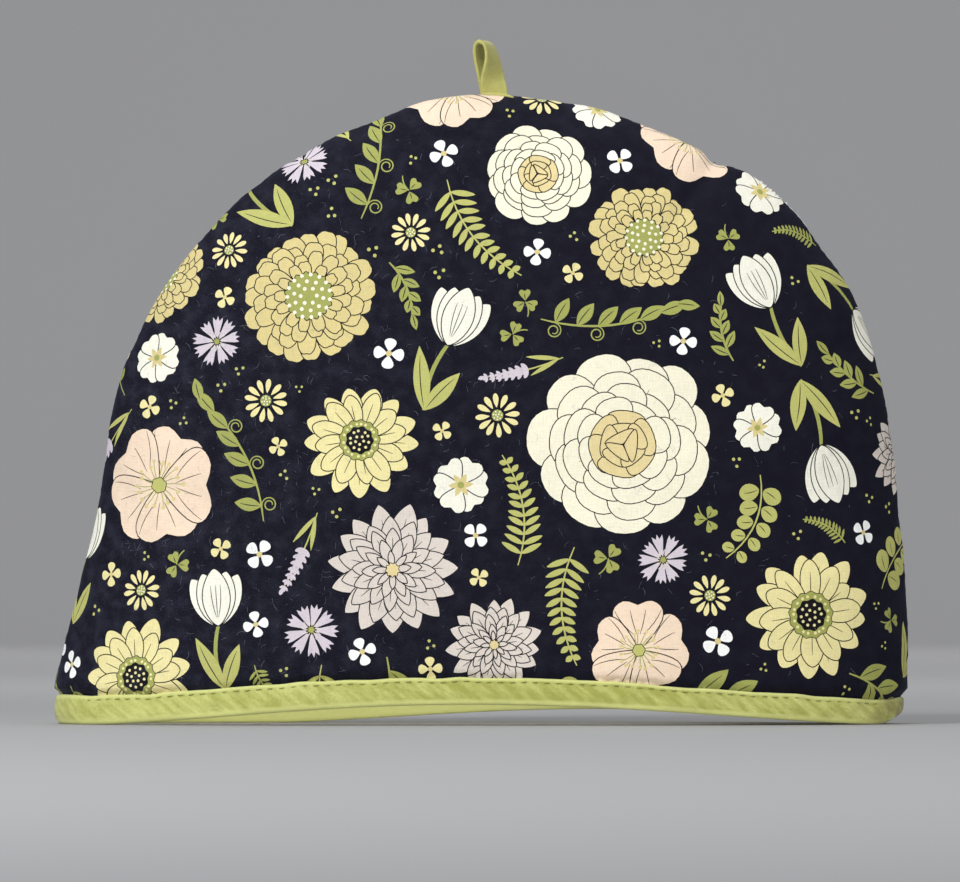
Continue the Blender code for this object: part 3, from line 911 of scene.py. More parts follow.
def mesh_object(name: str, verts: np.ndarray, faces: list) -> bpy.types.Object:
    """Add a mesh from points in metres and faces, with every face smooth."""
    mesh = bpy.data.meshes.new(name)
    mesh.from_pydata(verts.tolist(), [], faces)
    mesh.shade_smooth()
    obj = bpy.data.objects.new(name, mesh)
    bpy.context.scene.collection.objects.link(obj)
    return obj


def corner_vertices(mesh: bpy.types.Mesh) -> np.ndarray:
    """Index of the vertex at each corner of each face."""
    corners = np.empty(len(mesh.loops), dtype=np.int64)
    mesh.loops.foreach_get("vertex_index", corners)
    return corners


def tube_faces(rings: int, sides: int, start: int = 0) -> list[list[int]]:
    """Faces of a tube with closed ends.

    Args:
        rings: rings of vertices along the tube.
        sides: vertices in a ring.
        start: index of the first vertex.

    Returns:
        The faces between the rings, then the first and the last cap.
    """
    k, j = np.meshgrid(np.arange(rings - 1), np.arange(sides), indexing="ij")
    near, far = start + k * sides + j, start + k * sides + (j + 1) % sides
    walls = np.stack((near, far, far + sides, near + sides), axis=-1).reshape(-1, 4)
    cap = start + np.arange(sides)
    return walls.tolist() + [cap[::-1].tolist(), (cap + (rings - 1) * sides).tolist()]


def blurred(values: np.ndarray) -> np.ndarray:
    """A grid of values, each mixed with its neighbours both ways."""
    for axis in (0, 1):
        values = (np.roll(values, 1, axis) + 2 * values + np.roll(values, -1, axis)) / 4
    return values


def triangulate(points: np.ndarray, loops: list[np.ndarray]) -> tuple[np.ndarray, np.ndarray]:
    """Triangles over points that keep the given closed lines as edges.

    Args:
        points: loose points, one row each.
        loops: closed lines, each a run of points.

    Returns:
        The points and the triangles, anticlockwise.
    """
    edges = []
    start = len(points)
    for loop in loops:
        ring = np.arange(start, start + len(loop))
        edges += np.stack((ring, np.roll(ring, -1)), axis=-1).tolist()
        start += len(loop)
    every = np.vstack([points] + loops)
    result = delaunay_2d_cdt([Vector(p) for p in every], edges, [], 0, 1e-4, False)
    verts = np.array([(v.x, v.y) for v in result[0]])
    return verts, np.array([f for f in result[2] if len(f) == 3])


@dataclass
class Padding:
    """Puckers and swells of a padded panel, from a cloth simulation of its printed face.

    The cloth is held where it is sewn, is cut slightly too large for its shape, and is
    pushed out by its wadding. What it gains over the plain shape is kept as a relief on a
    grid over the flat pattern.
    """

    form: CosyForm
    side: Side
    spacing: float = 4.0
    frames: int = 22
    pressure: float = 0.8
    excess: float = 0.012
    limit: float = 1.2

    def __post_init__(self) -> None:
        """Lay the grid and start with no relief."""
        self.columns = np.arange(-205.0, 205.1, self.spacing)
        self.rows = np.arange(0.0, 305.1, self.spacing)
        self.height = np.zeros((len(self.rows), len(self.columns)))

    def at(self, u: np.ndarray, v: np.ndarray) -> np.ndarray:
        """Relief at points of the pattern, in millimetres outward."""
        x = np.clip((u - self.columns[0]) / self.spacing, 0, len(self.columns) - 1.001)
        y = np.clip((v - self.rows[0]) / self.spacing, 0, len(self.rows) - 1.001)
        return between(lambda column, row: self.height[row, column], x, y)

    def simulate(self) -> None:
        """Run the cloth simulation and read its relief."""
        edge = np.vstack(self.form.rim(4.0, self.side))
        x, y = np.meshgrid(self.columns, self.rows)
        flat = np.stack((x.ravel(), y.ravel()), axis=-1)
        held_in = inside(flat, edge)
        near = distance_to(flat, edge)
        k = np.arange(len(flat)).reshape(x.shape)
        quads = np.stack((k[:-1, :-1], k[:-1, 1:], k[1:, 1:], k[1:, :-1]), -1).reshape(-1, 4)
        quads = quads[held_in[quads].all(axis=1)]
        used, quads = np.unique(quads, return_inverse=True)
        quads = quads.reshape(-1, 4)
        u, v = flat[used].T
        start = self.form.place(u, v, np.zeros(len(u)), self.side, 0.6, 0.0)
        cloth = mesh_object("Cloth_trial", start, quads.tolist())
        sewn = (near[used] < 0.9 * self.spacing) | (v - self.form.hem_height(u, self.side) < 13.0)
        group = cloth.vertex_groups.new(name="sewn")
        group.add(np.flatnonzero(sewn).tolist(), 1.0, "REPLACE")
        settings = cloth.modifiers.new("Cloth", "CLOTH").settings
        wanted = {"quality": 6, "mass": 0.15, "tension_stiffness": 20.0,
                  "compression_stiffness": 20.0, "shear_stiffness": 8.0,
                  "bending_stiffness": 0.4, "vertex_group_mass": "sewn", "use_pressure": True,
                  "uniform_pressure_force": self.pressure, "shrink_min": -self.excess,
                  "shrink_max": -self.excess}
        for name, value in wanted.items():
            setattr(settings, name, value)
        settings.effector_weights.gravity = 0.0
        scene = bpy.context.scene
        for frame_number in range(1, self.frames + 1):
            scene.frame_set(frame_number)
        bpy.context.view_layer.objects.active = cloth
        bpy.ops.object.select_all(action="DESELECT")
        cloth.select_set(True)
        bpy.ops.object.modifier_apply(modifier="Cloth")
        end = np.array([vert.co for vert in cloth.data.vertices])
        away = self.form.place(u, v, np.full(len(u), -1.0), self.side, 0.6, 0.0) - start
        away = away / np.linalg.norm(away, axis=1)[:, None]
        gain = ((end - start) * away).sum(axis=1) / MM
        self.keep(used, gain, smooth_step(near, 0.0, 34.0).reshape(x.shape))
        bpy.data.objects.remove(cloth, do_unlink=True)
        scene.frame_set(1)

    def keep(self, used: np.ndarray, gain: np.ndarray, middle: np.ndarray) -> None:
        """Store the simulated gain, less its broad swell over the middle, within the limit."""
        gains, weight = np.zeros(middle.shape), np.zeros(middle.shape)
        gains.ravel()[used] = gain
        weight.ravel()[used] = 1.0
        broad, share = gains, weight
        for _ in range(14):
            broad, share = blurred(broad), blurred(share)
        fine = blurred((gains - middle * broad / np.maximum(share, 1e-3)) * weight)
        self.height = self.limit * np.tanh(fine / self.limit)


@dataclass
class PrintedPanel:
    """One padded panel: printed cloth outside, plain cloth inside, wadding between."""

    form: CosyForm
    side: Side
    blooms: tuple
    seed: int
    rim_spacing: float = 2.2
    grid_spacing: float = 3.2
    lining_spacing: float = 6.5
    rows: tuple = (0.8, 1.7, 2.8, 4.1, 5.6, 7.1, 8.2, 8.9, 9.6, 10.3, 11.0, 11.8, 12.7,
                   13.8, 15.1, 16.8)

    def __post_init__(self) -> None:
        """Give the panel its wadding."""
        self.padding = Padding(self.form, self.side)

    def edge(self) -> np.ndarray:
        """Outline of the flat pattern, anticlockwise."""
        return np.vstack(self.form.rim(self.rim_spacing, self.side))

    def inner_points(self, edge: np.ndarray, spacing: float, rows: tuple) -> np.ndarray:
        """Rows of points that follow the edge, then a loose grid over the middle."""
        normal = left_of(np.roll(edge, -1, axis=0) - np.roll(edge, 1, axis=0))
        parts = []
        for k, row in enumerate(rows):
            points = (edge + row * normal)[(k % 2)::(1 if row < 4 else 2)]
            away = distance_to(points, edge)
            parts.append(points[(away > row * 0.93) & inside(points, edge)])
        rng = np.random.default_rng(self.seed)
        low, high = edge.min(axis=0), edge.max(axis=0)
        x, y = np.meshgrid(np.arange(low[0], high[0], spacing),
                           np.arange(low[1], high[1], spacing * 0.87))
        x = x + spacing / 2 * (np.arange(len(x)) % 2)[:, None]
        grid = np.stack((x.ravel(), y.ravel()), axis=-1)
        grid = grid + rng.uniform(-0.12, 0.12, grid.shape) * spacing
        grid = grid[inside(grid, edge)]
        middle = distance_to(grid, edge) > rows[-1] + 0.4 * spacing
        return np.vstack(parts + [grid[middle]])

    def cut_out(self, motifs: list[PlacedMotif]) -> tuple[np.ndarray, np.ndarray]:
        """Triangulate the pattern along the edges of its print.

        Args:
            motifs: the placed motifs.

        Returns:
            Points of the flat cloth and its triangles.
        """
        edge = self.edge()
        loose = self.inner_points(edge, self.grid_spacing, self.rows)
        prints = [p.outline for m in motifs for p in m.patches]
        busy = {tuple(c) for c in (np.vstack(prints) / 1.5).astype(int).tolist()}
        free = [tuple(c) not in busy for c in (loose / 1.5).astype(int).tolist()]
        verts, tris = triangulate(loose[np.array(free)], [edge] + prints)
        used, tris = np.unique(tris[inside(verts[tris].mean(axis=1), edge)], return_inverse=True)
        return verts[used], tris.reshape(-1, 3)

    def dye(self, verts: np.ndarray, tris: np.ndarray, motifs: list[PlacedMotif]) -> np.ndarray:
        """Index of the dye of each triangle: the last patch laid over it."""
        middle = verts[tris].mean(axis=1)
        dyes = np.full(len(tris), TONES.index(Tone.NAVY))
        for motif in motifs:
            near = np.flatnonzero(np.all((middle >= motif.low) & (middle <= motif.high), axis=1))
            for patch in motif.patches:
                low, high = patch.outline.min(axis=0), patch.outline.max(axis=0)
                at = middle[near]
                boxed = near[np.all((at >= low) & (at <= high), axis=1)]
                dyes[boxed[inside(middle[boxed], patch.outline)]] = TONES.index(patch.tone)
        return dyes

    def outer_loop(self, tris: np.ndarray) -> np.ndarray:
        """The boundary of a triangulation, in order."""
        pairs = np.vstack((tris[:, (0, 1)], tris[:, (1, 2)], tris[:, (2, 0)]))
        known = set(map(tuple, pairs.tolist()))
        follow = {a: b for a, b in known if (b, a) not in known}
        start = next(iter(follow))
        loop = [start]
        while follow[loop[-1]] != start:
            loop.append(follow[loop[-1]])
        if len(loop) != len(follow):
            LOG.warning("cloth edge: %d of %d points", len(loop), len(follow))
        return np.array(loop)

    def outer_face(self, u: np.ndarray, v: np.ndarray, off: float = 0.0) -> np.ndarray:
        """Where the printed cloth lies, or points a little way off it."""
        over = v - self.form.hem_height(u, self.side) - self.form.binding_top(u)
        squeeze = 1 - np.sin(np.clip((over - 0.1) / 3.4, 0, 1) * math.pi / 2)
        inward = self.form.pinch * squeeze - self.padding.at(u, v) * (1 - squeeze)
        return self.form.place(u, v, inward - off, self.side, 1.0, 0.6)

    def inner_face(self, u: np.ndarray, v: np.ndarray) -> np.ndarray:
        """Where the plain cloth lies."""
        form = self.form
        squeeze = 1 - smooth_step(v - form.hem_height(u, self.side), 13.5, 23.0)
        inward = form.wall + (form.pinch + form.pinched_wall - form.wall) * squeeze
        points = form.place(u, v, inward, self.side)
        ripple = 0.5 * soft_noise(u / 21.0, v / 17.0, self.seed) * MM
        points[:, 1] += ripple * -self.side.value * (1 - squeeze)
        return points

    def normals(self, u: np.ndarray, v: np.ndarray, surface) -> np.ndarray:
        """Unit normals of a surface over the pattern, from differences around each point."""
        e = 0.25
        to_x, to_y = self.form.centre_x - u, np.maximum(self.form.spring_height, v) - v - 40.0
        size = np.maximum(np.hypot(to_x, to_y), 1.0)
        u, v = u + 2 * e * to_x / size, v + e * to_y / size
        across = surface(u + e, v) - surface(u - e, v)
        up = surface(u, v + e) - surface(u, v - e)
        normal = np.cross(across, up) * -float(self.side.value)
        return normal / np.maximum(np.linalg.norm(normal, axis=1), 1e-12)[:, None]

    def build(self) -> bpy.types.Object:
        """Model and map the panel.

        Returns:
            The panel, with its printed and its plain material slot still empty.
        """
        self.padding.simulate()
        motifs = PrintLayout(self.edge(), self.blooms, self.seed).spread()
        flat, tris = self.cut_out(motifs)
        dyes = self.dye(flat, tris, motifs)
        printed = float((dyes != TONES.index(Tone.NAVY)).mean())
        loop = self.outer_loop(tris)
        loose = self.inner_points(flat[loop], self.lining_spacing, (3.0, 7.0))
        lining, lining_tris = triangulate(loose, [flat[loop]])
        lining_tris = lining_tris[inside(lining[lining_tris].mean(axis=1), flat[loop])]
        lining_loop = len(loose) + np.arange(len(loop))
        outer = self.outer_face(*flat.T)
        inner = self.inner_face(*lining.T)
        count = len(flat)
        here, there = loop, np.roll(loop, -1)
        below, after = lining_loop + count, np.roll(lining_loop, -1) + count
        walls = np.stack((there, here, below, after), axis=-1)
        lining_faces = lining_tris[:, ::-1] + count
        if self.side is Side.BACK:
            tris, walls, lining_faces = tris[:, ::-1], walls[:, ::-1], lining_faces[:, ::-1]
        name = "Front panel" if self.side is Side.FRONT else "Back panel"
        faces = tris.tolist() + lining_faces.tolist() + walls.tolist()
        panel = mesh_object(name.replace(" ", "_"), np.vstack((outer, inner)), faces)
        self.map_cloth(panel, flat, lining, len(tris), len(lining_tris), loop)
        self.colour(panel, dyes, len(tris), len(lining_tris))
        self.set_normals(panel, flat, lining, len(tris), len(lining_tris))
        LOG.info("%s: %d motifs, %d triangles, print share of triangles %.2f", name,
                 len(motifs), len(faces), printed)
        return panel

    def map_cloth(self, panel: bpy.types.Object, flat: np.ndarray, lining: np.ndarray,
                  outer_count: int, lining_count: int, loop: np.ndarray) -> None:
        """Add the UV maps: millimetres of cloth, and one square that nothing overlaps in."""
        mesh = panel.data
        weave = np.vstack((flat, lining))[corner_vertices(mesh)]
        square = np.stack(((weave[:, 0] + 200) / 400, weave[:, 1] / 400 + 0.002), axis=-1)
        plain = slice(3 * outer_count, 3 * (outer_count + lining_count))
        square[plain] = square[plain] * 0.3 + (0.005, 0.765)
        step = 0.64 / len(loop)
        k = np.arange(len(loop))[:, None]
        order = (1, 0, 0, 1) if self.side is Side.FRONT else (1, 0, 0, 1)[::-1]
        high = (1, 1, 0, 0) if self.side is Side.FRONT else (0, 0, 1, 1)
        wall_x = 0.34 + step * (k + np.array(order)[None])
        wall_y = 0.80 + 0.02 * np.array(high)[None] + 0 * k
        square[3 * (outer_count + lining_count):] = np.stack((wall_x, wall_y), -1).reshape(-1, 2)
        for name, values in (("weave", weave / UV_UNIT), ("OFBake", square)):
            mesh.uv_layers.new(name=name).data.foreach_set("uv", values.ravel())

    def colour(self, panel: bpy.types.Object, dyes: np.ndarray, outer_count: int,
               lining_count: int) -> None:
        """Store each corner's dye and give the plain cloth its own material slot."""
        mesh = panel.data
        table = np.array([(*tone.value, 1.0) for tone in TONES])
        colours = np.tile(table[TONES.index(Tone.NAVY)], (len(mesh.loops), 1))
        colours[: 3 * outer_count] = np.repeat(table[dyes], 3, axis=0)
        plain = slice(3 * outer_count, 3 * (outer_count + lining_count))
        colours[plain] = table[TONES.index(Tone.CALICO)]
        attribute = mesh.attributes.new("print", "FLOAT_COLOR", "CORNER")
        attribute.data.foreach_set("color", colours.ravel())
        slots = np.zeros(len(mesh.polygons), dtype=np.int32)
        slots[outer_count : outer_count + lining_count] = 1
        for _ in range(2):
            mesh.materials.append(None)
        mesh.polygons.foreach_set("material_index", slots)

    def set_normals(self, panel: bpy.types.Object, flat: np.ndarray, lining: np.ndarray,
                    outer_count: int, lining_count: int) -> None:
        """Shade the cloth by its true slope, whatever the print's triangles are like."""
        every = np.vstack((self.normals(*flat.T, self.outer_face),
                           -self.normals(*lining.T, self.inner_face)))
        values = every[corner_vertices(panel.data)]
        values[3 * (outer_count + lining_count):] = 0.0
        panel.data.normals_split_custom_set(values.tolist())


@dataclass
class HemBinding:
    """The bias strip folded over the hem: one closed ring, with its creases and drag lines."""

    form: CosyForm
    gap: float = 0.45
    thick: float = 1.2
    stations: int = 420
    stitch_drop: float = 1.7

    def outside(self) -> float:
        """How far inward of the panel's own face the strip's outer side lies."""
        return self.form.pinch - self.gap - self.thick

    def section(self, height: np.ndarray) -> tuple[np.ndarray, np.ndarray]:
        """Inward distance and height of the points round the strip, one row a station."""
        t = self.thick
        outside = self.outside()
        inside_face = self.form.pinch + self.form.pinched_wall + self.gap
        rows = [(outside + 1.9, 0.0, 0.0), (outside + 0.9, 0.12, 0.0), (outside + 0.3, 0.6, 0.0),
                (outside, 1.6, 0.0)]
        rows += [(outside, 0.0, s) for s in (0.24, 0.36, 0.48, 0.59, 0.68, 0.76, 0.83, 0.89)]
        rows += [(outside + 0.05, -0.75, 1.0), (outside + 0.2, -0.25, 1.0),
                 (outside + 0.55 * t, 0.0, 1.0), (outside + 0.9 * t, -0.2, 1.0),
                 (outside + t, -0.6, 1.0), (outside + t, 0.0, 0.5), (outside + t, t, 0.0),
                 (inside_face, t, 0.0), (inside_face, 0.0, 0.5), (inside_face, -0.6, 1.0),
                 (inside_face + 0.5 * t, 0.0, 1.0), (inside_face + t, -0.7, 1.0),
                 (inside_face + t, 0.0, 0.6), (inside_face + t, 1.6, 0.0),
                 (inside_face + t - 0.3, 0.6, 0.0), (inside_face + t - 0.9, 0.0, 0.0)]
        table = np.array(rows)
        up = table[:, 1] + table[:, 2] * height[:, None]
        return np.broadcast_to(table[:, 0], up.shape), up

    def drag(self, along: np.ndarray, up: np.ndarray, height: np.ndarray) -> np.ndarray:
        """How far the outer side swells, with slanting drag lines and the pull of the stitches."""
        slant = along - 0.9 * up
        lines = 0.34 * soft_noise(slant / 3.4, up / 11.0, 5)
        lines += 0.34 * soft_noise(slant / 9.0, up / 16.0, 6)
        below_top = height - up
        row = np.exp(-((below_top - self.stitch_drop) / 0.75) ** 2)
        beat = 0.75 + 0.25 * np.cos(2 * math.pi * along / 4.6)
        plump = 0.28 * smooth_step(below_top, 2.4, 5.0) * smooth_step(up, 0.6, 2.6)
        return lines * smooth_step(up, 0.5, 2.5) * 0.8 + plump - 0.34 * row * beat

    def build(self) -> bpy.types.Object:
        """Model the ring.

        Returns:
            The strip, with a map of its cloth in millimetres.
        """
        half = self.stations // 2
        spread = np.sin(np.linspace(-1, 1, half + 1) * 1.42) / math.sin(1.42)
        left, right = self.form.hem_ends(Side.FRONT)
        x = left + (right - left) * (spread + 1) / 2
        rings = []
        for side, at in ((Side.FRONT, x[::-1][:-1]), (Side.BACK, x[:-1])):
            height = self.form.binding_top(at)
            inward, up = self.section(height)
            outer = up.shape[1] // 2 + 1
            along = at * -side.value + (0 if side is Side.FRONT else 700)
            swell = self.drag(along[:, None], up, height[:, None])
            fade = smooth_step(170.0 - np.abs(at), 0.0, 8.0)[:, None]
            joined = np.exp(-((at[:, None] - 9.0 - 0.5 * up) / 0.7) ** 2) * (side is Side.FRONT)
            swell = np.minimum((swell - 0.4 * joined) * fade, 0.42)
            rounded = np.sin(math.pi * np.clip(up / height[:, None], 0, 1)) ** 0.7
            swell = swell + (1 - fade) * rounded * np.where(at < 0, 1.3, 0.5)[:, None]
            swell[:, outer:] = 0.0
            u = np.broadcast_to(at[:, None], up.shape)
            lift = self.form.hem_height(u, side) + up
            points = self.form.place(u.ravel(), lift.ravel(), (inward - swell).ravel(), side)
            points = points.reshape(*up.shape, 3)
            points[0, :, 1] = 0.0
            rings.append(points)
        verts = np.vstack(rings)
        count, sides = verts.shape[:2]
        k, j = np.meshgrid(np.arange(count), np.arange(sides), indexing="ij")
        nk, nj = (k + 1) % count, (j + 1) % sides
        faces = np.stack((k * sides + j, nk * sides + j, nk * sides + nj, k * sides + nj), -1)
        strip = mesh_object("Hem_binding", verts.reshape(-1, 3), faces.reshape(-1, 4).tolist())
        self.map_cloth(strip, verts, sides)
        return face_outwards(strip)

    def map_cloth(self, strip: bpy.types.Object, verts: np.ndarray, sides: int) -> None:
        """Add the cloth's UV map, in units of 100 mm, along the strip and across it."""
        middle = verts.mean(axis=1)
        step = np.linalg.norm(np.roll(middle, -1, axis=0) - middle, axis=1)
        along = running(step) * UV_PER_METRE
        across = np.linalg.norm(np.roll(verts, -1, axis=1) - verts, axis=2).mean(axis=0)
        across = running(across) * UV_PER_METRE
        k, j = np.meshgrid(np.arange(len(verts)), np.arange(sides), indexing="ij")
        u = np.stack((along[k], along[k + 1], along[k + 1], along[k]), axis=-1)
        v = np.stack((across[j], across[j], across[j + 1], across[j + 1]), axis=-1)
        layer = strip.data.uv_layers.new(name="weave")
        layer.data.foreach_set("uv", np.stack((u, v), axis=-1).ravel())


def face_outwards(obj: bpy.types.Object) -> bpy.types.Object:
    """Turn a closed mesh's faces outward."""
    bm = bmesh.new()
    bm.from_mesh(obj.data)
    if bm.calc_volume(signed=True) < 0:
        bmesh.ops.reverse_faces(bm, faces=list(bm.faces))
    bm.to_mesh(obj.data)
    bm.free()
    return obj


@dataclass
class HangingLoop:
    """The hanging loop: a folded, edge-stitched strip that turns as it rises from the seam."""

    form: CosyForm
    width: float = 11.0
    thick: float = 1.4
    foot_x: float = 4.7
    steps: int = 110
    # height, half gap between the two legs, lean to the left, turn in degrees
    profile: tuple = (
        (0.0, 0.8, 0.0, 2.0), (3.0, 0.85, -0.5, 12.0), (7.0, 1.15, -1.3, 30.0),
        (11.0, 2.0, -2.2, 47.0), (15.0, 2.6, -3.1, 59.0), (18.5, 2.55, -3.9, 66.0),
        (21.0, 1.8, -4.4, 69.0), (22.2, 0.0, -4.7, 70.0),
    )

    def strip(self) -> tuple[np.ndarray, np.ndarray]:
        """Distance along the strip, and its height, gap, lean and turn there."""
        half = catmull_rom(self.profile, 8)
        whole = np.vstack((half * (1, -1, 1, 1), half[::-1][1:]))
        length = running(np.hypot(np.diff(whole[:, 0]), np.diff(whole[:, 1])))
        at = np.linspace(0.0, length[-1], self.steps + 1)
        return at, np.stack([np.interp(at, length, whole[:, k]) for k in range(4)], axis=-1)

    def section(self) -> np.ndarray:
        """Points round the strip: across and out, with a fold at one edge and a seam's dip."""
        w, t = self.width / 2, self.thick / 2
        across = np.array((1.0, 0.97, 0.88, 0.76, 0.66, 0.45, 0.15, -0.2, -0.5, -0.75, -0.9, -0.98))
        out = np.array((0.0, 0.75, 0.95, 0.72, 0.92, 1.0, 0.95, 0.9, 1.0, 1.0, 0.9, 0.6))
        top = np.stack((across * w, out * t), axis=-1)
        return np.vstack((top, top * (-1, -1)))

    def build(self) -> bpy.types.Object:
        """Model the loop.

        Returns:
            The loop, closed at both hidden ends, with a map of its cloth.
        """
        at, strip = self.strip()
        height, gap, lean, turn = strip.T
        d_gap, d_height = np.gradient(gap, at), np.gradient(height, at)
        size = np.hypot(d_gap, d_height)
        foot = self.form.reach(np.array((self.foot_x,)), np.array((300.0,)))[2][0]
        foot_z = self.form.spring_height + float(foot) - 1.9
        section = self.section()
        across = section[:, 0][None] * (1 + 0.02 * np.sin(at / 5.0))[:, None]
        crease = 0.16 * soft_noise(at[:, None] / 3.0 + across / 6.0, across / 4.0, 21)
        out = section[:, 1][None] * (1 + crease)
        along_gap = gap[:, None] - out * (d_height / size)[:, None]
        along_z = height[:, None] + out * (d_gap / size)[:, None]
        yaw = np.radians(turn)[:, None]
        x = self.foot_x + lean[:, None] + across * np.cos(yaw) - along_gap * np.sin(yaw)
        y = across * np.sin(yaw) + along_gap * np.cos(yaw)
        verts = np.stack((x, y, foot_z + along_z), axis=-1) * MM
        count, sides = verts.shape[:2]
        k, j = np.meshgrid(np.arange(count - 1), np.arange(sides), indexing="ij")
        loop = mesh_object("Hanging_loop", verts.reshape(-1, 3), tube_faces(count, sides))
        round_section = running(np.hypot(*np.diff(np.vstack((section, section[:1])), axis=0).T))
        u = np.stack((at[k], at[k], at[k + 1], at[k + 1]), axis=-1)
        v = np.stack((round_section[j], round_section[j + 1], round_section[j + 1],
                      round_section[j]), axis=-1)
        cloth = np.zeros((len(loop.data.loops), 2))
        cloth[: u.size] = np.stack((u, v), axis=-1).reshape(-1, 2) / UV_UNIT
        loop.data.uv_layers.new(name="weave").data.foreach_set("uv", cloth.ravel())
        return face_outwards(loop)


class ThreadWork:
    """Short lengths of thread or fibre, gathered into one piece."""

    def __init__(self, sides: int = 6) -> None:
        """Start with no thread."""
        self.sides = sides
        self.verts: list[np.ndarray] = []
        self.faces: list[list[int]] = []
        self.count = 0

    def lay(self, path: np.ndarray, radius: float, blunt: float = 0.55) -> None:
        """Lay one thread.

        Args:
            path: its middle line in metres, one row a point.
            radius: in millimetres.
            blunt: share of the radius left at both ends.
        """
        along = np.gradient(path, axis=0)
        along = along / np.maximum(np.linalg.norm(along, axis=1), 1e-12)[:, None]
        guide = np.array((0.31, 0.87, 0.38)) if abs(along[0, 1]) < 0.8 else np.array((1.0, 0, 0))
        first = np.cross(along, guide)
        first = first / np.linalg.norm(first, axis=1)[:, None]
        second = np.cross(along, first)
        t = np.linspace(0, math.pi, len(path))
        thick = radius * MM * (blunt + (1 - blunt) * np.minimum(1, 1.6 * np.sin(t)))[:, None, None]
        a = np.linspace(0, 2 * math.pi, self.sides, endpoint=False)[None, :, None]
        ring = path[:, None] + thick * (np.cos(a) * first[:, None] + np.sin(a) * second[:, None])
        self.faces += tube_faces(len(path), self.sides, self.count)
        self.verts.append(ring.reshape(-1, 3))
        self.count += len(path) * self.sides

    def finish(self, name: str) -> bpy.types.Object:
        """Make one object of every thread laid."""
        return face_outwards(mesh_object(name, np.vstack(self.verts), self.faces))


@dataclass
class Needlework:
    """Stitches, seam mends and lint on the cosy."""

    form: CosyForm
    binding: HemBinding
    panels: dict
    pitch: float = 4.6
    length: float = 2.3
    thread: float = 0.2

    def topstitch(self, side: Side) -> bpy.types.Object:
        """The row of stitches just under the binding's folded edge, on one face."""
        rng = np.random.default_rng(31 + side.value)
        work = ThreadWork()
        left, right = self.form.hem_ends(side)
        for x in np.arange(left + 5.0, right - 5.0, self.pitch):
            x = x + rng.uniform(-0.15, 0.15)
            t = np.linspace(-0.5, 0.5, 6)
            u = x + t * self.length
            drop = self.binding.stitch_drop + rng.uniform(-0.12, 0.12)
            v = self.form.hem_height(u, side) + self.form.binding_top(u) - drop + 0.15 * t
            sink = self.binding.outside() + 0.28 - 0.45 * np.cos(t * math.pi)
            sink = sink + 0.12 * smooth_step(u, 20.0, 150.0)
            work.lay(self.form.place(u, v, sink, side), self.thread)
        return work.finish(f"Topstitch_{side.name.lower()}")

    def by_seam(self, angle: float, away: float, side: Side, out: float) -> np.ndarray:
        """A point in metres near the crown's seam.

        Args:
            angle: direction from the middle of the dome, in degrees.
            away: distance in from the seam along the cloth, in millimetres.
            side: which face.
            out: how far off the cloth.
        """
        form = self.form
        a = np.radians(np.array((angle,)))
        radius = form.edge_radius(a) - away
        u = form.centre_x + radius * np.cos(a)
        v = form.spring_height + radius * np.sin(a)
        return self.panels[side].outer_face(u, v, out)[0]

    def seam_mend(self) -> bpy.types.Object:
        """Pale stitches over the seam on the right shoulder, sewn by hand."""
        work = ThreadWork()
        rng = np.random.default_rng(5)
        for k in range(7):
            at = 50.0 - 0.73 * k + rng.uniform(-0.1, 0.1)
            lean = 0.5 + rng.uniform(-0.25, 0.2)
            front = self.by_seam(at - lean, 6.0 + rng.uniform(-1.6, 0.8), Side.FRONT, 0.1)
            near = self.by_seam(at - lean * 0.6, 3.4, Side.FRONT, 0.3)
            over = self.by_seam(at, 0.4, Side.FRONT, 0.9)
            behind = self.by_seam(at + lean * 0.4, 2.6, Side.BACK, 0.1)
            work.lay(catmull_rom([front, near, over, behind], 3), rng.uniform(0.24, 0.34))
        run = [self.by_seam(a, 3.0, Side.FRONT, 0.25) for a in (45.3, 44.2, 43.0, 41.9, 40.8)]
        work.lay(catmull_rom(run, 4), 0.24)
        return work.finish("Seam_mend")

    def thread_end(self) -> bpy.types.Object:
        """The loose ends of dark thread at the nick in the right shoulder's seam."""
        work = ThreadWork()
        rng = np.random.default_rng(17)
        foot = self.by_seam(56.6, 0.6, Side.FRONT, 0.0)
        for k in range(5):
            away = np.array((rng.uniform(-2.2, 2.6), rng.uniform(-2.6, -0.6), rng.uniform(0.6, 3.4)))
            bow = np.array((rng.uniform(-1, 1), 0.0, rng.uniform(0, 1.2)))
            path = [foot, foot + (0.5 * away + bow) * MM, foot + away * MM]
            work.lay(catmull_rom(path, 5), 0.16, 0.4)
        return work.finish("Thread_end")

    def lint(self, side: Side, count: int) -> bpy.types.Object:
        """Fine pale fibres that cling to the cloth of one face."""
        rng = np.random.default_rng(71 + side.value)
        work = ThreadWork(sides=3)
        low, high = (-150.0, 16.0), (152.0, 240.0)
        while len(work.verts) < count:
            at = rng.uniform(low, high)
            if rng.uniform(-150, 150) < 0.6 * at[0] - 30 and at[0] > -60:
                continue
            if self.form.reach(at[:1], at[1:])[3][0] > 152.0 and at[1] > 90.0:
                continue
            heading, bend = rng.uniform(0, 2 * math.pi), rng.uniform(-0.32, 0.32)
            step = rng.uniform(0.1, 0.68)
            turns = heading + bend * np.arange(7) + rng.uniform(-0.3, 0.3, 7)
            u = at[0] + np.cumsum(step * np.cos(turns))
            v = at[1] + np.cumsum(step * np.sin(turns))
            if (v - self.form.hem_height(u, side)).min() < 13.0:
                continue
            off = 0.14 + 0.14 * np.sin(np.linspace(0, math.pi, 7))
            path = self.panels[side].outer_face(u, v, off)
            work.lay(path, rng.uniform(0.014, 0.044), 0.6)
        return work.finish(f"Lint_{side.name.lower()}")


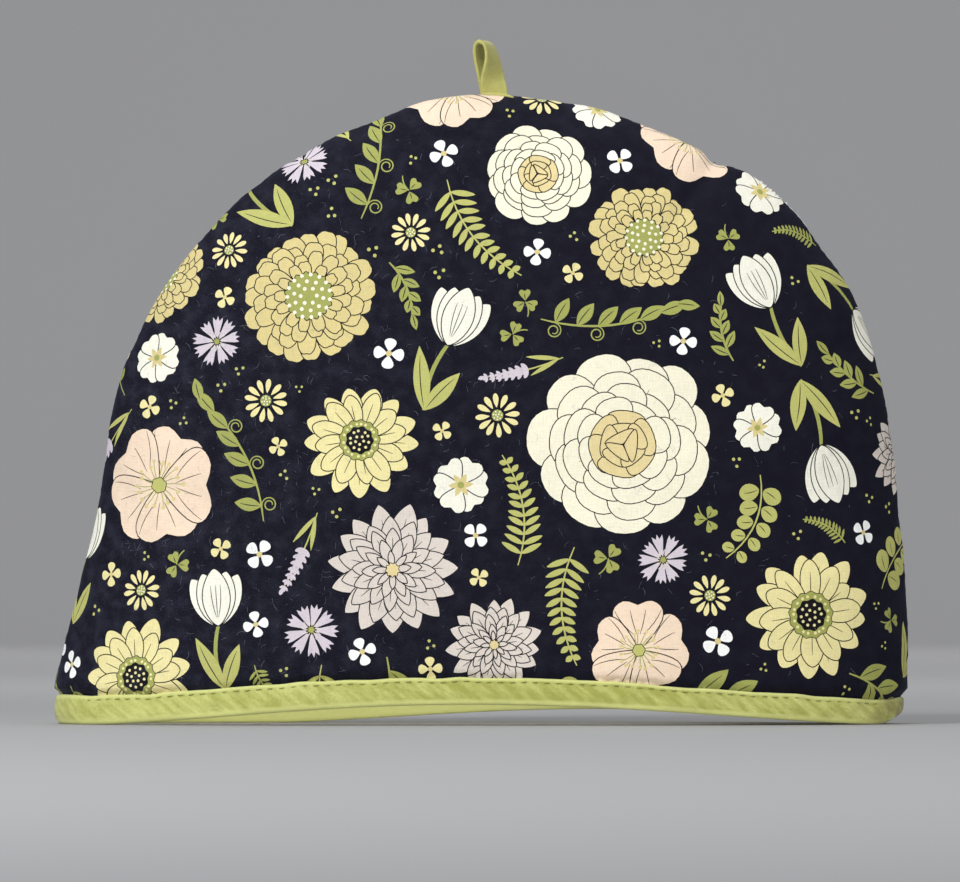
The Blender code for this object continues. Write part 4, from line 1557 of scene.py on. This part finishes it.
def maths(operation: str, other_first: bool = False) -> Callable:
    """Method of Value that makes a Math node over the value and another term."""

    def method(self: "Value", other: "Value | float") -> "Value":
        """Result of the operation."""
        return self.sum_with(operation, *((other, self) if other_first else (self, other)))

    return method


class Value:
    """A shader socket that takes part in sums."""

    def __init__(self, graph: "Graph", socket: bpy.types.NodeSocket) -> None:
        """Wrap a socket of a graph."""
        self.graph = graph
        self.socket = socket

    def sum_with(self, operation: str, *terms: "Value | float") -> "Value":
        """Result of a Math node over the terms."""
        node = self.graph.node("ShaderNodeMath", {"operation": operation},
                               dict(enumerate(terms)))
        return Value(self.graph, node.outputs[0])

    __add__, __radd__ = maths("ADD"), maths("ADD", True)
    __sub__, __rsub__ = maths("SUBTRACT"), maths("SUBTRACT", True)
    __mul__, __rmul__ = maths("MULTIPLY"), maths("MULTIPLY", True)

    def sine(self) -> "Value":
        """Sine."""
        return self.sum_with("SINE", self)

    def clamped(self, low: float, high: float) -> "Value":
        """Share of the way from low to high, held between 0 and 1."""
        node = self.graph.node("ShaderNodeMapRange", {"clamp": True},
                               {"Value": self, "From Min": low, "From Max": high})
        return Value(self.graph, node.outputs[0])


class Graph:
    """Node tree of one material, round one Principled shader."""

    def __init__(self, name: str) -> None:
        """Start a material with a Principled shader and its output."""
        self.material = bpy.data.materials.new(name)
        self.material.use_nodes = True
        self.tree = self.material.node_tree
        self.tree.nodes.clear()
        self.shader = self.node("ShaderNodeBsdfPrincipled", {}, {})
        self.node("ShaderNodeOutputMaterial", {}, {"Surface": self.shader.outputs[0]})

    def node(self, kind: str, settings: dict, inputs: dict) -> bpy.types.Node:
        """Add a node.

        Args:
            kind: the node's type.
            settings: its own properties.
            inputs: a value, a socket or a Value for each input, by name or number.

        Returns:
            The node.
        """
        node = self.tree.nodes.new(kind)
        for key, value in settings.items():
            setattr(node, key, value)
        self.feed(node, inputs)
        return node

    def feed(self, node: bpy.types.Node, inputs: dict) -> None:
        """Set or link a node's inputs; each is a value, a socket or a Value."""
        for key, value in inputs.items():
            source = value.socket if isinstance(value, Value) else value
            if isinstance(source, bpy.types.NodeSocket):
                self.tree.links.new(source, node.inputs[key])
            else:
                node.inputs[key].default_value = source

    def value(self, node: bpy.types.Node, output: str | int = 0) -> Value:
        """An output of a node, for use in sums."""
        return Value(self, node.outputs[output])

    def noise(self, vector: bpy.types.NodeSocket, scale: float, detail: float = 2.0) -> Value:
        """Noise from 0 to 1 over a vector."""
        node = self.node("ShaderNodeTexNoise", {},
                         {"Vector": vector, "Scale": scale, "Detail": detail})
        return self.value(node)

    def uv(self, name: str) -> bpy.types.NodeSocket:
        """A UV map as a vector."""
        return self.node("ShaderNodeUVMap", {"uv_map": name}, {}).outputs[0]

    def place(self) -> bpy.types.NodeSocket:
        """Object coordinates."""
        return self.node("ShaderNodeTexCoord", {}, {}).outputs["Object"]

    def axis(self, vector: bpy.types.NodeSocket, name: str) -> Value:
        """One of a vector's parts: X, Y or Z."""
        return self.value(self.node("ShaderNodeSeparateXYZ", {}, {0: vector}), name)

    def shaded(self, colour: bpy.types.NodeSocket, level: Value) -> bpy.types.NodeSocket:
        """A colour made darker or lighter by a level."""
        grey = self.node("ShaderNodeCombineColor", {}, {0: level, 1: level, 2: level})
        return self.mix(1.0, colour, grey.outputs[0], "MULTIPLY")

    def mix(self, factor: Value | float, first: object, second: object,
            blend: str = "MIX") -> bpy.types.NodeSocket:
        """Mix of two colours."""
        node = self.node("ShaderNodeMix", {"data_type": "RGBA", "blend_type": blend},
                         {0: factor, 6: first, 7: second})
        return node.outputs[2]

    def bump(self, height: Value, distance: float, strength: float = 1.0,
             under: bpy.types.NodeSocket | None = None) -> bpy.types.NodeSocket:
        """Bump over a height in units of distance, in metres."""
        inputs = {"Height": height, "Distance": distance, "Strength": strength}
        if under is not None:
            inputs["Normal"] = under
        return self.node("ShaderNodeBump", {}, inputs).outputs[0]

    def slubs(self, uv: bpy.types.NodeSocket, fine: float, long: float = 24.0) -> Value:
        """Noise drawn out along the threads of both directions, summed."""
        drawn = []
        for scale in ((long, fine, 1.0), (fine, long, 1.0)):
            stretched = self.node("ShaderNodeMapping", {}, {"Vector": uv, "Scale": scale})
            drawn.append(self.noise(stretched.outputs[0], 1.0, 2.0))
        return drawn[0] + drawn[1]

    def weave(self, uv: bpy.types.NodeSocket, pitch: float, turn: float = 45.0) -> Value:
        """Height of a plain weave, 0 to 1.

        Args:
            uv: map in units of 100 mm.
            pitch: distance between threads in millimetres.
            turn: of the weave, in degrees.
        """
        turned = self.node("ShaderNodeMapping", {},
                           {"Vector": uv, "Rotation": (0.0, 0.0, math.radians(turn))}).outputs[0]
        wobble = self.noise(uv, 90.0, 1.0) * 2.0
        rate = math.pi * UV_UNIT / pitch
        warp = (self.axis(turned, "X") * rate + wobble).sine()
        weft = (self.axis(turned, "Y") * rate + wobble).sine()
        return warp * weft * 0.5 + 0.5

    def finish(self, settings: dict) -> bpy.types.Material:
        """Set or link the shader's inputs.

        Args:
            settings: a value, socket or Value for each input.

        Returns:
            The material.
        """
        self.feed(self.shader, settings)
        return self.material


@dataclass(frozen=True)
class PrintedCotton:
    """Matt printed cotton: dyes from the print attribute, thread by thread."""

    pitch: float = 0.42
    roughness: float = 0.84

    def material(self) -> bpy.types.Material:
        """Build the material."""
        g = Graph("printed_cotton")
        uv, at = g.uv("weave"), g.place()
        dye = g.node("ShaderNodeAttribute", {"attribute_name": "print"}, {})
        weave = g.weave(uv, self.pitch)
        mottle = g.noise(at, 26.0, 3.0)
        grain = g.noise(uv, 160.0, 2.0)
        slubs = g.slubs(uv, 230.0)
        level = 0.55 + 0.20 * mottle + 0.18 * grain + 0.12 * weave + 0.24 * slubs
        cloth = g.shaded(dye.outputs["Color"], level)
        # Painted sheen: the navy is mixed towards a bluish grey, more strongly on the left where the
        # key light falls. The soft patches are partly wear and partly painted sheen; the fine fluff
        # specks are lint.
        painted_sheen_left = 1.25 - g.axis(at, "X").clamped(-0.15, 0.09)
        wear_and_sheen_patches = g.noise(uv, 16.0, 5.0).clamped(0.42, 0.72) * 0.065
        fluff = g.noise(uv, 190.0, 4.0).clamped(0.54, 0.76) * 0.13
        cloth = g.mix(painted_sheen_left * (wear_and_sheen_patches + fluff), cloth, (0.17, 0.19, 0.26, 1.0))
        crumple = g.bump(g.noise(uv, 9.0, 3.0), 0.0011, 0.55)
        fine = g.bump(g.noise(uv, 46.0, 2.0), 0.00022, 0.5, crumple)
        threads = g.bump(weave, 0.00006, 0.5, fine)
        return g.finish({"Base Color": cloth, "Roughness": self.roughness + 0.1 * grain - 0.05,
                         "Specular IOR Level": 0.16, "Sheen Weight": 0.08,
                         "Sheen Roughness": 0.4, "Sheen Tint": (0.50, 0.56, 0.86, 1.0),
                         "Normal": threads})


@dataclass(frozen=True)
class PlainCotton:
    """Matt plain cotton, cut on the bias or straight."""

    name: str
    colour: tuple
    shade: tuple
    turn: float = 45.0
    pitch: float = 0.50
    soiled: float = 0.0
    # drag-line mottling, with painted highlights along the folds and painted shade over the middle
    dragged_with_painted_light: bool = False

    def material(self) -> bpy.types.Material:
        """Build the material."""
        g = Graph(self.name)
        uv, at = g.uv("weave"), g.place()
        weave = g.weave(uv, self.pitch, self.turn)
        tone = g.noise(at, 40.0, 3.0).clamped(0.3, 0.7) * 0.5 + g.noise(uv, 60.0, 2.0) * 0.35
        if self.dragged_with_painted_light:
            slant = g.node("ShaderNodeMapping", {"vector_type": "TEXTURE"},
                           {"Vector": uv, "Rotation": (0.0, 0.0, math.radians(38)),
                            "Scale": (0.11, 0.030, 1.0)}).outputs[0]
            patches = g.noise(slant, 1.0, 4.0).clamped(0.34, 0.66)
            specks = g.noise(uv, 130.0, 3.0).clamped(0.35, 0.7)
            across = g.axis(uv, "Y")
            # Painted highlight along the folds: the tone goes pale at the strip's bottom and top
            # folds, partly wear and partly painted highlight of their rolled edges.
            body = across.clamped(0.026, 0.040) * (1.0 - across.clamped(0.104, 0.114))
            along = g.axis(at, "X")
            # Painted light and shade: the strip is darker over its middle and lighter towards its
            # ends, most at the left end where the key light falls.
            middle = along.clamped(-0.11, 0.02) * (1.0 - along.clamped(0.06, 0.15))
            tone = body * (0.1 + 0.26 * middle + 0.6 * patches + 0.3 * specks) + 0.15 * tone
        cloth = g.mix(tone, (*self.colour, 1.0), (*self.shade, 1.0))
        cloth = g.shaded(cloth, 0.66 + 0.16 * weave + 0.18 * g.slubs(uv, 200.0))
        if self.soiled:
            near = g.axis(at, "X").clamped(0.150, 0.167)
            dirt = near * g.noise(at, 110.0, 4.0).clamped(0.34, 0.62) * self.soiled
            cloth = g.mix(dirt, cloth, (0.20, 0.15, 0.06, 1.0))
        crumple = g.bump(g.noise(uv, 22.0, 3.0), 0.0006, 0.5)
        threads = g.bump(weave, 0.00007, 0.5, crumple)
        return g.finish({"Base Color": cloth, "Roughness": 0.8 + 0.12 * (tone - 0.4),
                         "Specular IOR Level": 0.3, "Sheen Weight": 0.15,
                         "Sheen Roughness": 0.5, "Normal": threads})


@dataclass(frozen=True)
class Thread:
    """Spun thread or fibre, with fine mottling in its tone and surface."""

    name: str
    colour: tuple

    def material(self) -> bpy.types.Material:
        """Build the material."""
        g = Graph(self.name)
        at = g.place()
        fuzz = g.noise(at, 900.0, 2.0)
        deep = tuple(0.6 * c for c in self.colour)
        colour = g.mix(fuzz, (*deep, 1.0), (*self.colour, 1.0))
        return g.finish({"Base Color": colour, "Roughness": 0.6 + 0.3 * fuzz,
                         "Specular IOR Level": 0.35, "Normal": g.bump(fuzz, 0.00008)})


@dataclass(frozen=True)
class PaleFloor:
    """Plain pale studio surface."""

    colour: tuple = srgb(172, 171, 170)

    def material(self) -> bpy.types.Material:
        """Build the material."""
        g = Graph("pale_floor")
        return g.finish({"Base Color": (*self.colour, 1.0), "Roughness": 0.9,
                         "Specular IOR Level": 0.2})


@dataclass
class Studio:
    """Floor, light and camera."""

    distance: float = 4.0
    eye_height: float = 0.06
    eye_x: float = -0.0012
    aim_height: float = 0.114
    lens: float = 372.0

    def floor(self) -> None:
        """A floor that sweeps up behind into a wall."""
        bpy.ops.mesh.primitive_plane_add(size=1.0, location=(0, 0, 0))
        floor = bpy.context.object
        floor.name = "Floor"
        floor.scale = (18.0, 16.0, 1.0)
        floor.location = (0.0, -1.0, 0.0)
        bpy.ops.object.transform_apply(location=True, scale=True)
        bpy.ops.object.mode_set(mode="EDIT")
        bpy.ops.mesh.select_mode(type="EDGE")
        bpy.ops.mesh.select_all(action="DESELECT")
        bpy.ops.object.mode_set(mode="OBJECT")
        for edge in floor.data.edges:
            edge.select = all(floor.data.vertices[v].co.y > 1.0 for v in edge.vertices)
        bpy.ops.object.mode_set(mode="EDIT")
        bpy.ops.mesh.extrude_region_move(TRANSFORM_OT_translate={"value": (0, 0, 6.0)})
        bpy.ops.mesh.select_all(action="DESELECT")
        bpy.ops.object.mode_set(mode="OBJECT")
        for edge in floor.data.edges:
            ends = [floor.data.vertices[v].co for v in edge.vertices]
            edge.select = all(e.y > 1.0 and abs(e.z) < 0.01 for e in ends)
        bpy.ops.object.mode_set(mode="EDIT")
        bpy.ops.mesh.bevel(offset=2.4, segments=24, affect="EDGES")
        bpy.ops.object.mode_set(mode="OBJECT")
        bpy.ops.object.shade_smooth()
        floor.data.materials.append(PaleFloor().material())

    def light(self, name: str, place: tuple, aim: tuple, size: float, power: float,
              colour: tuple = (1.0, 1.0, 1.0), tall: float = 0.0) -> None:
        """Add one soft lamp: a disk, or a strip where its height is given."""
        data = bpy.data.lights.new(name, "AREA")
        data.shape = "RECTANGLE" if tall else "DISK"
        data.size = size
        data.size_y = tall or size
        data.energy = power
        data.color = colour
        lamp = bpy.data.objects.new(name, data)
        lamp.location = place
        lamp.rotation_euler = (Vector(aim) - Vector(place)).to_track_quat("-Z", "Y").to_euler()
        lamp.visible_camera = False
        bpy.context.scene.collection.objects.link(lamp)

    def lights(self) -> None:
        """Soft daylight from the upper left, with fill from the right and above."""
        self.light("Key", (-1.3, -1.7, 1.5), (0, 0, 0.1), 1.0, 41.0, (0.95, 0.98, 1.0))
        self.light("Fill", (1.6, -1.9, 0.8), (0, 0, 0.12), 1.3, 8.0, (1.0, 0.98, 0.95))
        self.light("Top", (0.1, 0.3, 1.9), (0, 0, 0.1), 1.2, 12.0)
        self.light("Backdrop", (0.0, 3.4, 2.6), (0, 6.6, 0.7), 3.0, 40.0)
        self.light("Back_floor", (0.0, 1.6, 1.8), (0, 4.4, 0.0), 2.5, 20.0)
        self.light("Arch", (-0.03, -0.015, 0.032), (-0.03, 0.046, 0.002), 0.24, 0.045, tall=0.012)
        self.light("Low", (0.0, -4.2, 0.055), (0, 0, 0.04), 0.10, 44.0)
        world = bpy.data.worlds.new("Studio")
        world.use_nodes = True
        world.node_tree.nodes["Background"].inputs[0].default_value = (0.86, 0.90, 1.0, 1.0)
        world.node_tree.nodes["Background"].inputs[1].default_value = 0.35
        bpy.context.scene.world = world

    def camera(self) -> None:
        """The photo's view: far off, a little above the table, square to the front."""
        data = bpy.data.cameras.new("Camera")
        data.lens = self.lens
        data.sensor_width = 36.0
        camera = bpy.data.objects.new("Camera", data)
        eye = Vector((self.eye_x, -self.distance, self.eye_height))
        aim = Vector((self.eye_x, 0.0, self.aim_height))
        camera.location = eye
        camera.rotation_euler = (aim - eye).to_track_quat("-Z", "Y").to_euler()
        bpy.context.scene.collection.objects.link(camera)
        bpy.context.scene.camera = camera
        bpy.context.scene.view_settings.view_transform = "Standard"

    def build(self) -> None:
        """Set the studio up."""
        self.floor()
        self.lights()
        self.camera()


@dataclass
class TeaCosy:
    """The whole cosy, put together from its sewn pieces."""

    form: CosyForm = field(default_factory=CosyForm)
    sewn: dict = field(default_factory=dict)

    def dress(self, piece: bpy.types.Object, *materials: bpy.types.Material) -> None:
        """Give a piece its finishes and let it ride on the part's body."""
        for k, material in enumerate(materials):
            if k < len(piece.data.materials):
                piece.data.materials[k] = material
            else:
                piece.data.materials.append(material)
        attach(piece, ROOT)
        LOG.info("%s: %d faces", piece.name, len(piece.data.polygons))

    def panels(self) -> None:
        """Both padded panels."""
        printed = PrintedCotton().material()
        calico = PlainCotton("calico", srgb(214, 206, 186), srgb(186, 176, 152)).material()
        for side, blooms, seed, node in ((Side.FRONT, FRONT_BLOOMS, 2024, "front_panel"),
                                         (Side.BACK, BACK_BLOOMS, 515, "back_panel")):
            self.sewn[side] = PrintedPanel(self.form, side, blooms, seed)
            panel = self.sewn[side].build()
            self.dress(panel, printed, calico)
            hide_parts(node)

    def hem(self) -> None:
        """The binding and its stitches."""
        lime = PlainCotton("lime_cotton", srgb(224, 226, 142), srgb(168, 169, 84), 0.0,
                           soiled=0.85, dragged_with_painted_light=True).material()
        # Painted shade: the topstitch thread is darker than the lime it matches, standing in for the
        # shade in the stitch holes.
        thread = Thread("olive_thread_painted_shade", srgb(146, 148, 74)).material()
        binding = HemBinding(self.form)
        strip = binding.build()
        self.dress(strip, lime)
        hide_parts("hem_binding")
        work = Needlework(self.form, binding, self.sewn)
        for side in Side:
            stitches = work.topstitch(side)
            self.dress(stitches, thread)
        pale = Thread("pale_thread", srgb(226, 226, 220)).material()
        fluff = Thread("fluff", srgb(158, 163, 176)).material()
        dark = Thread("dark_thread", srgb(40, 42, 44)).material()
        front, back = "cotton_print_front", "cotton_print_back"
        for piece, finish, slot in ((work.seam_mend(), pale, front),
                                    (work.thread_end(), dark, front),
                                    (work.lint(Side.FRONT, 1000), fluff, front),
                                    (work.lint(Side.BACK, 500), fluff, back)):
            self.dress(piece, finish)

    def loop(self) -> None:
        """The hanging loop."""
        cotton = PlainCotton("loop_cotton", srgb(198, 194, 116), srgb(172, 168, 90))
        loop = HangingLoop(self.form).build()
        self.dress(loop, cotton.material())
        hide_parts("hanging_loop")
        end = ThreadWork(sides=8)
        seam = [Needlework(self.form, None, self.sewn).by_seam(a, away, Side.FRONT, 0.3)
                for a, away in ((91.2, 5.6), (90.2, 6.0), (89.0, 6.4), (87.9, 7.0), (86.8, 7.9))]
        end.lay(catmull_rom(seam, 3), 0.62, 0.6)
        piece = end.finish("Loop_end")
        self.dress(piece, loop.data.materials[0])

    def build(self) -> None:
        """Make every piece."""
        self.panels()
        self.hem()
        self.loop()


def main() -> None:
    """Build the cosy and its studio."""
    logging.basicConfig(level=logging.INFO, format="%(message)s")
    TeaCosy().build()
    Studio().build()


if __name__ == "__main__":
    main()
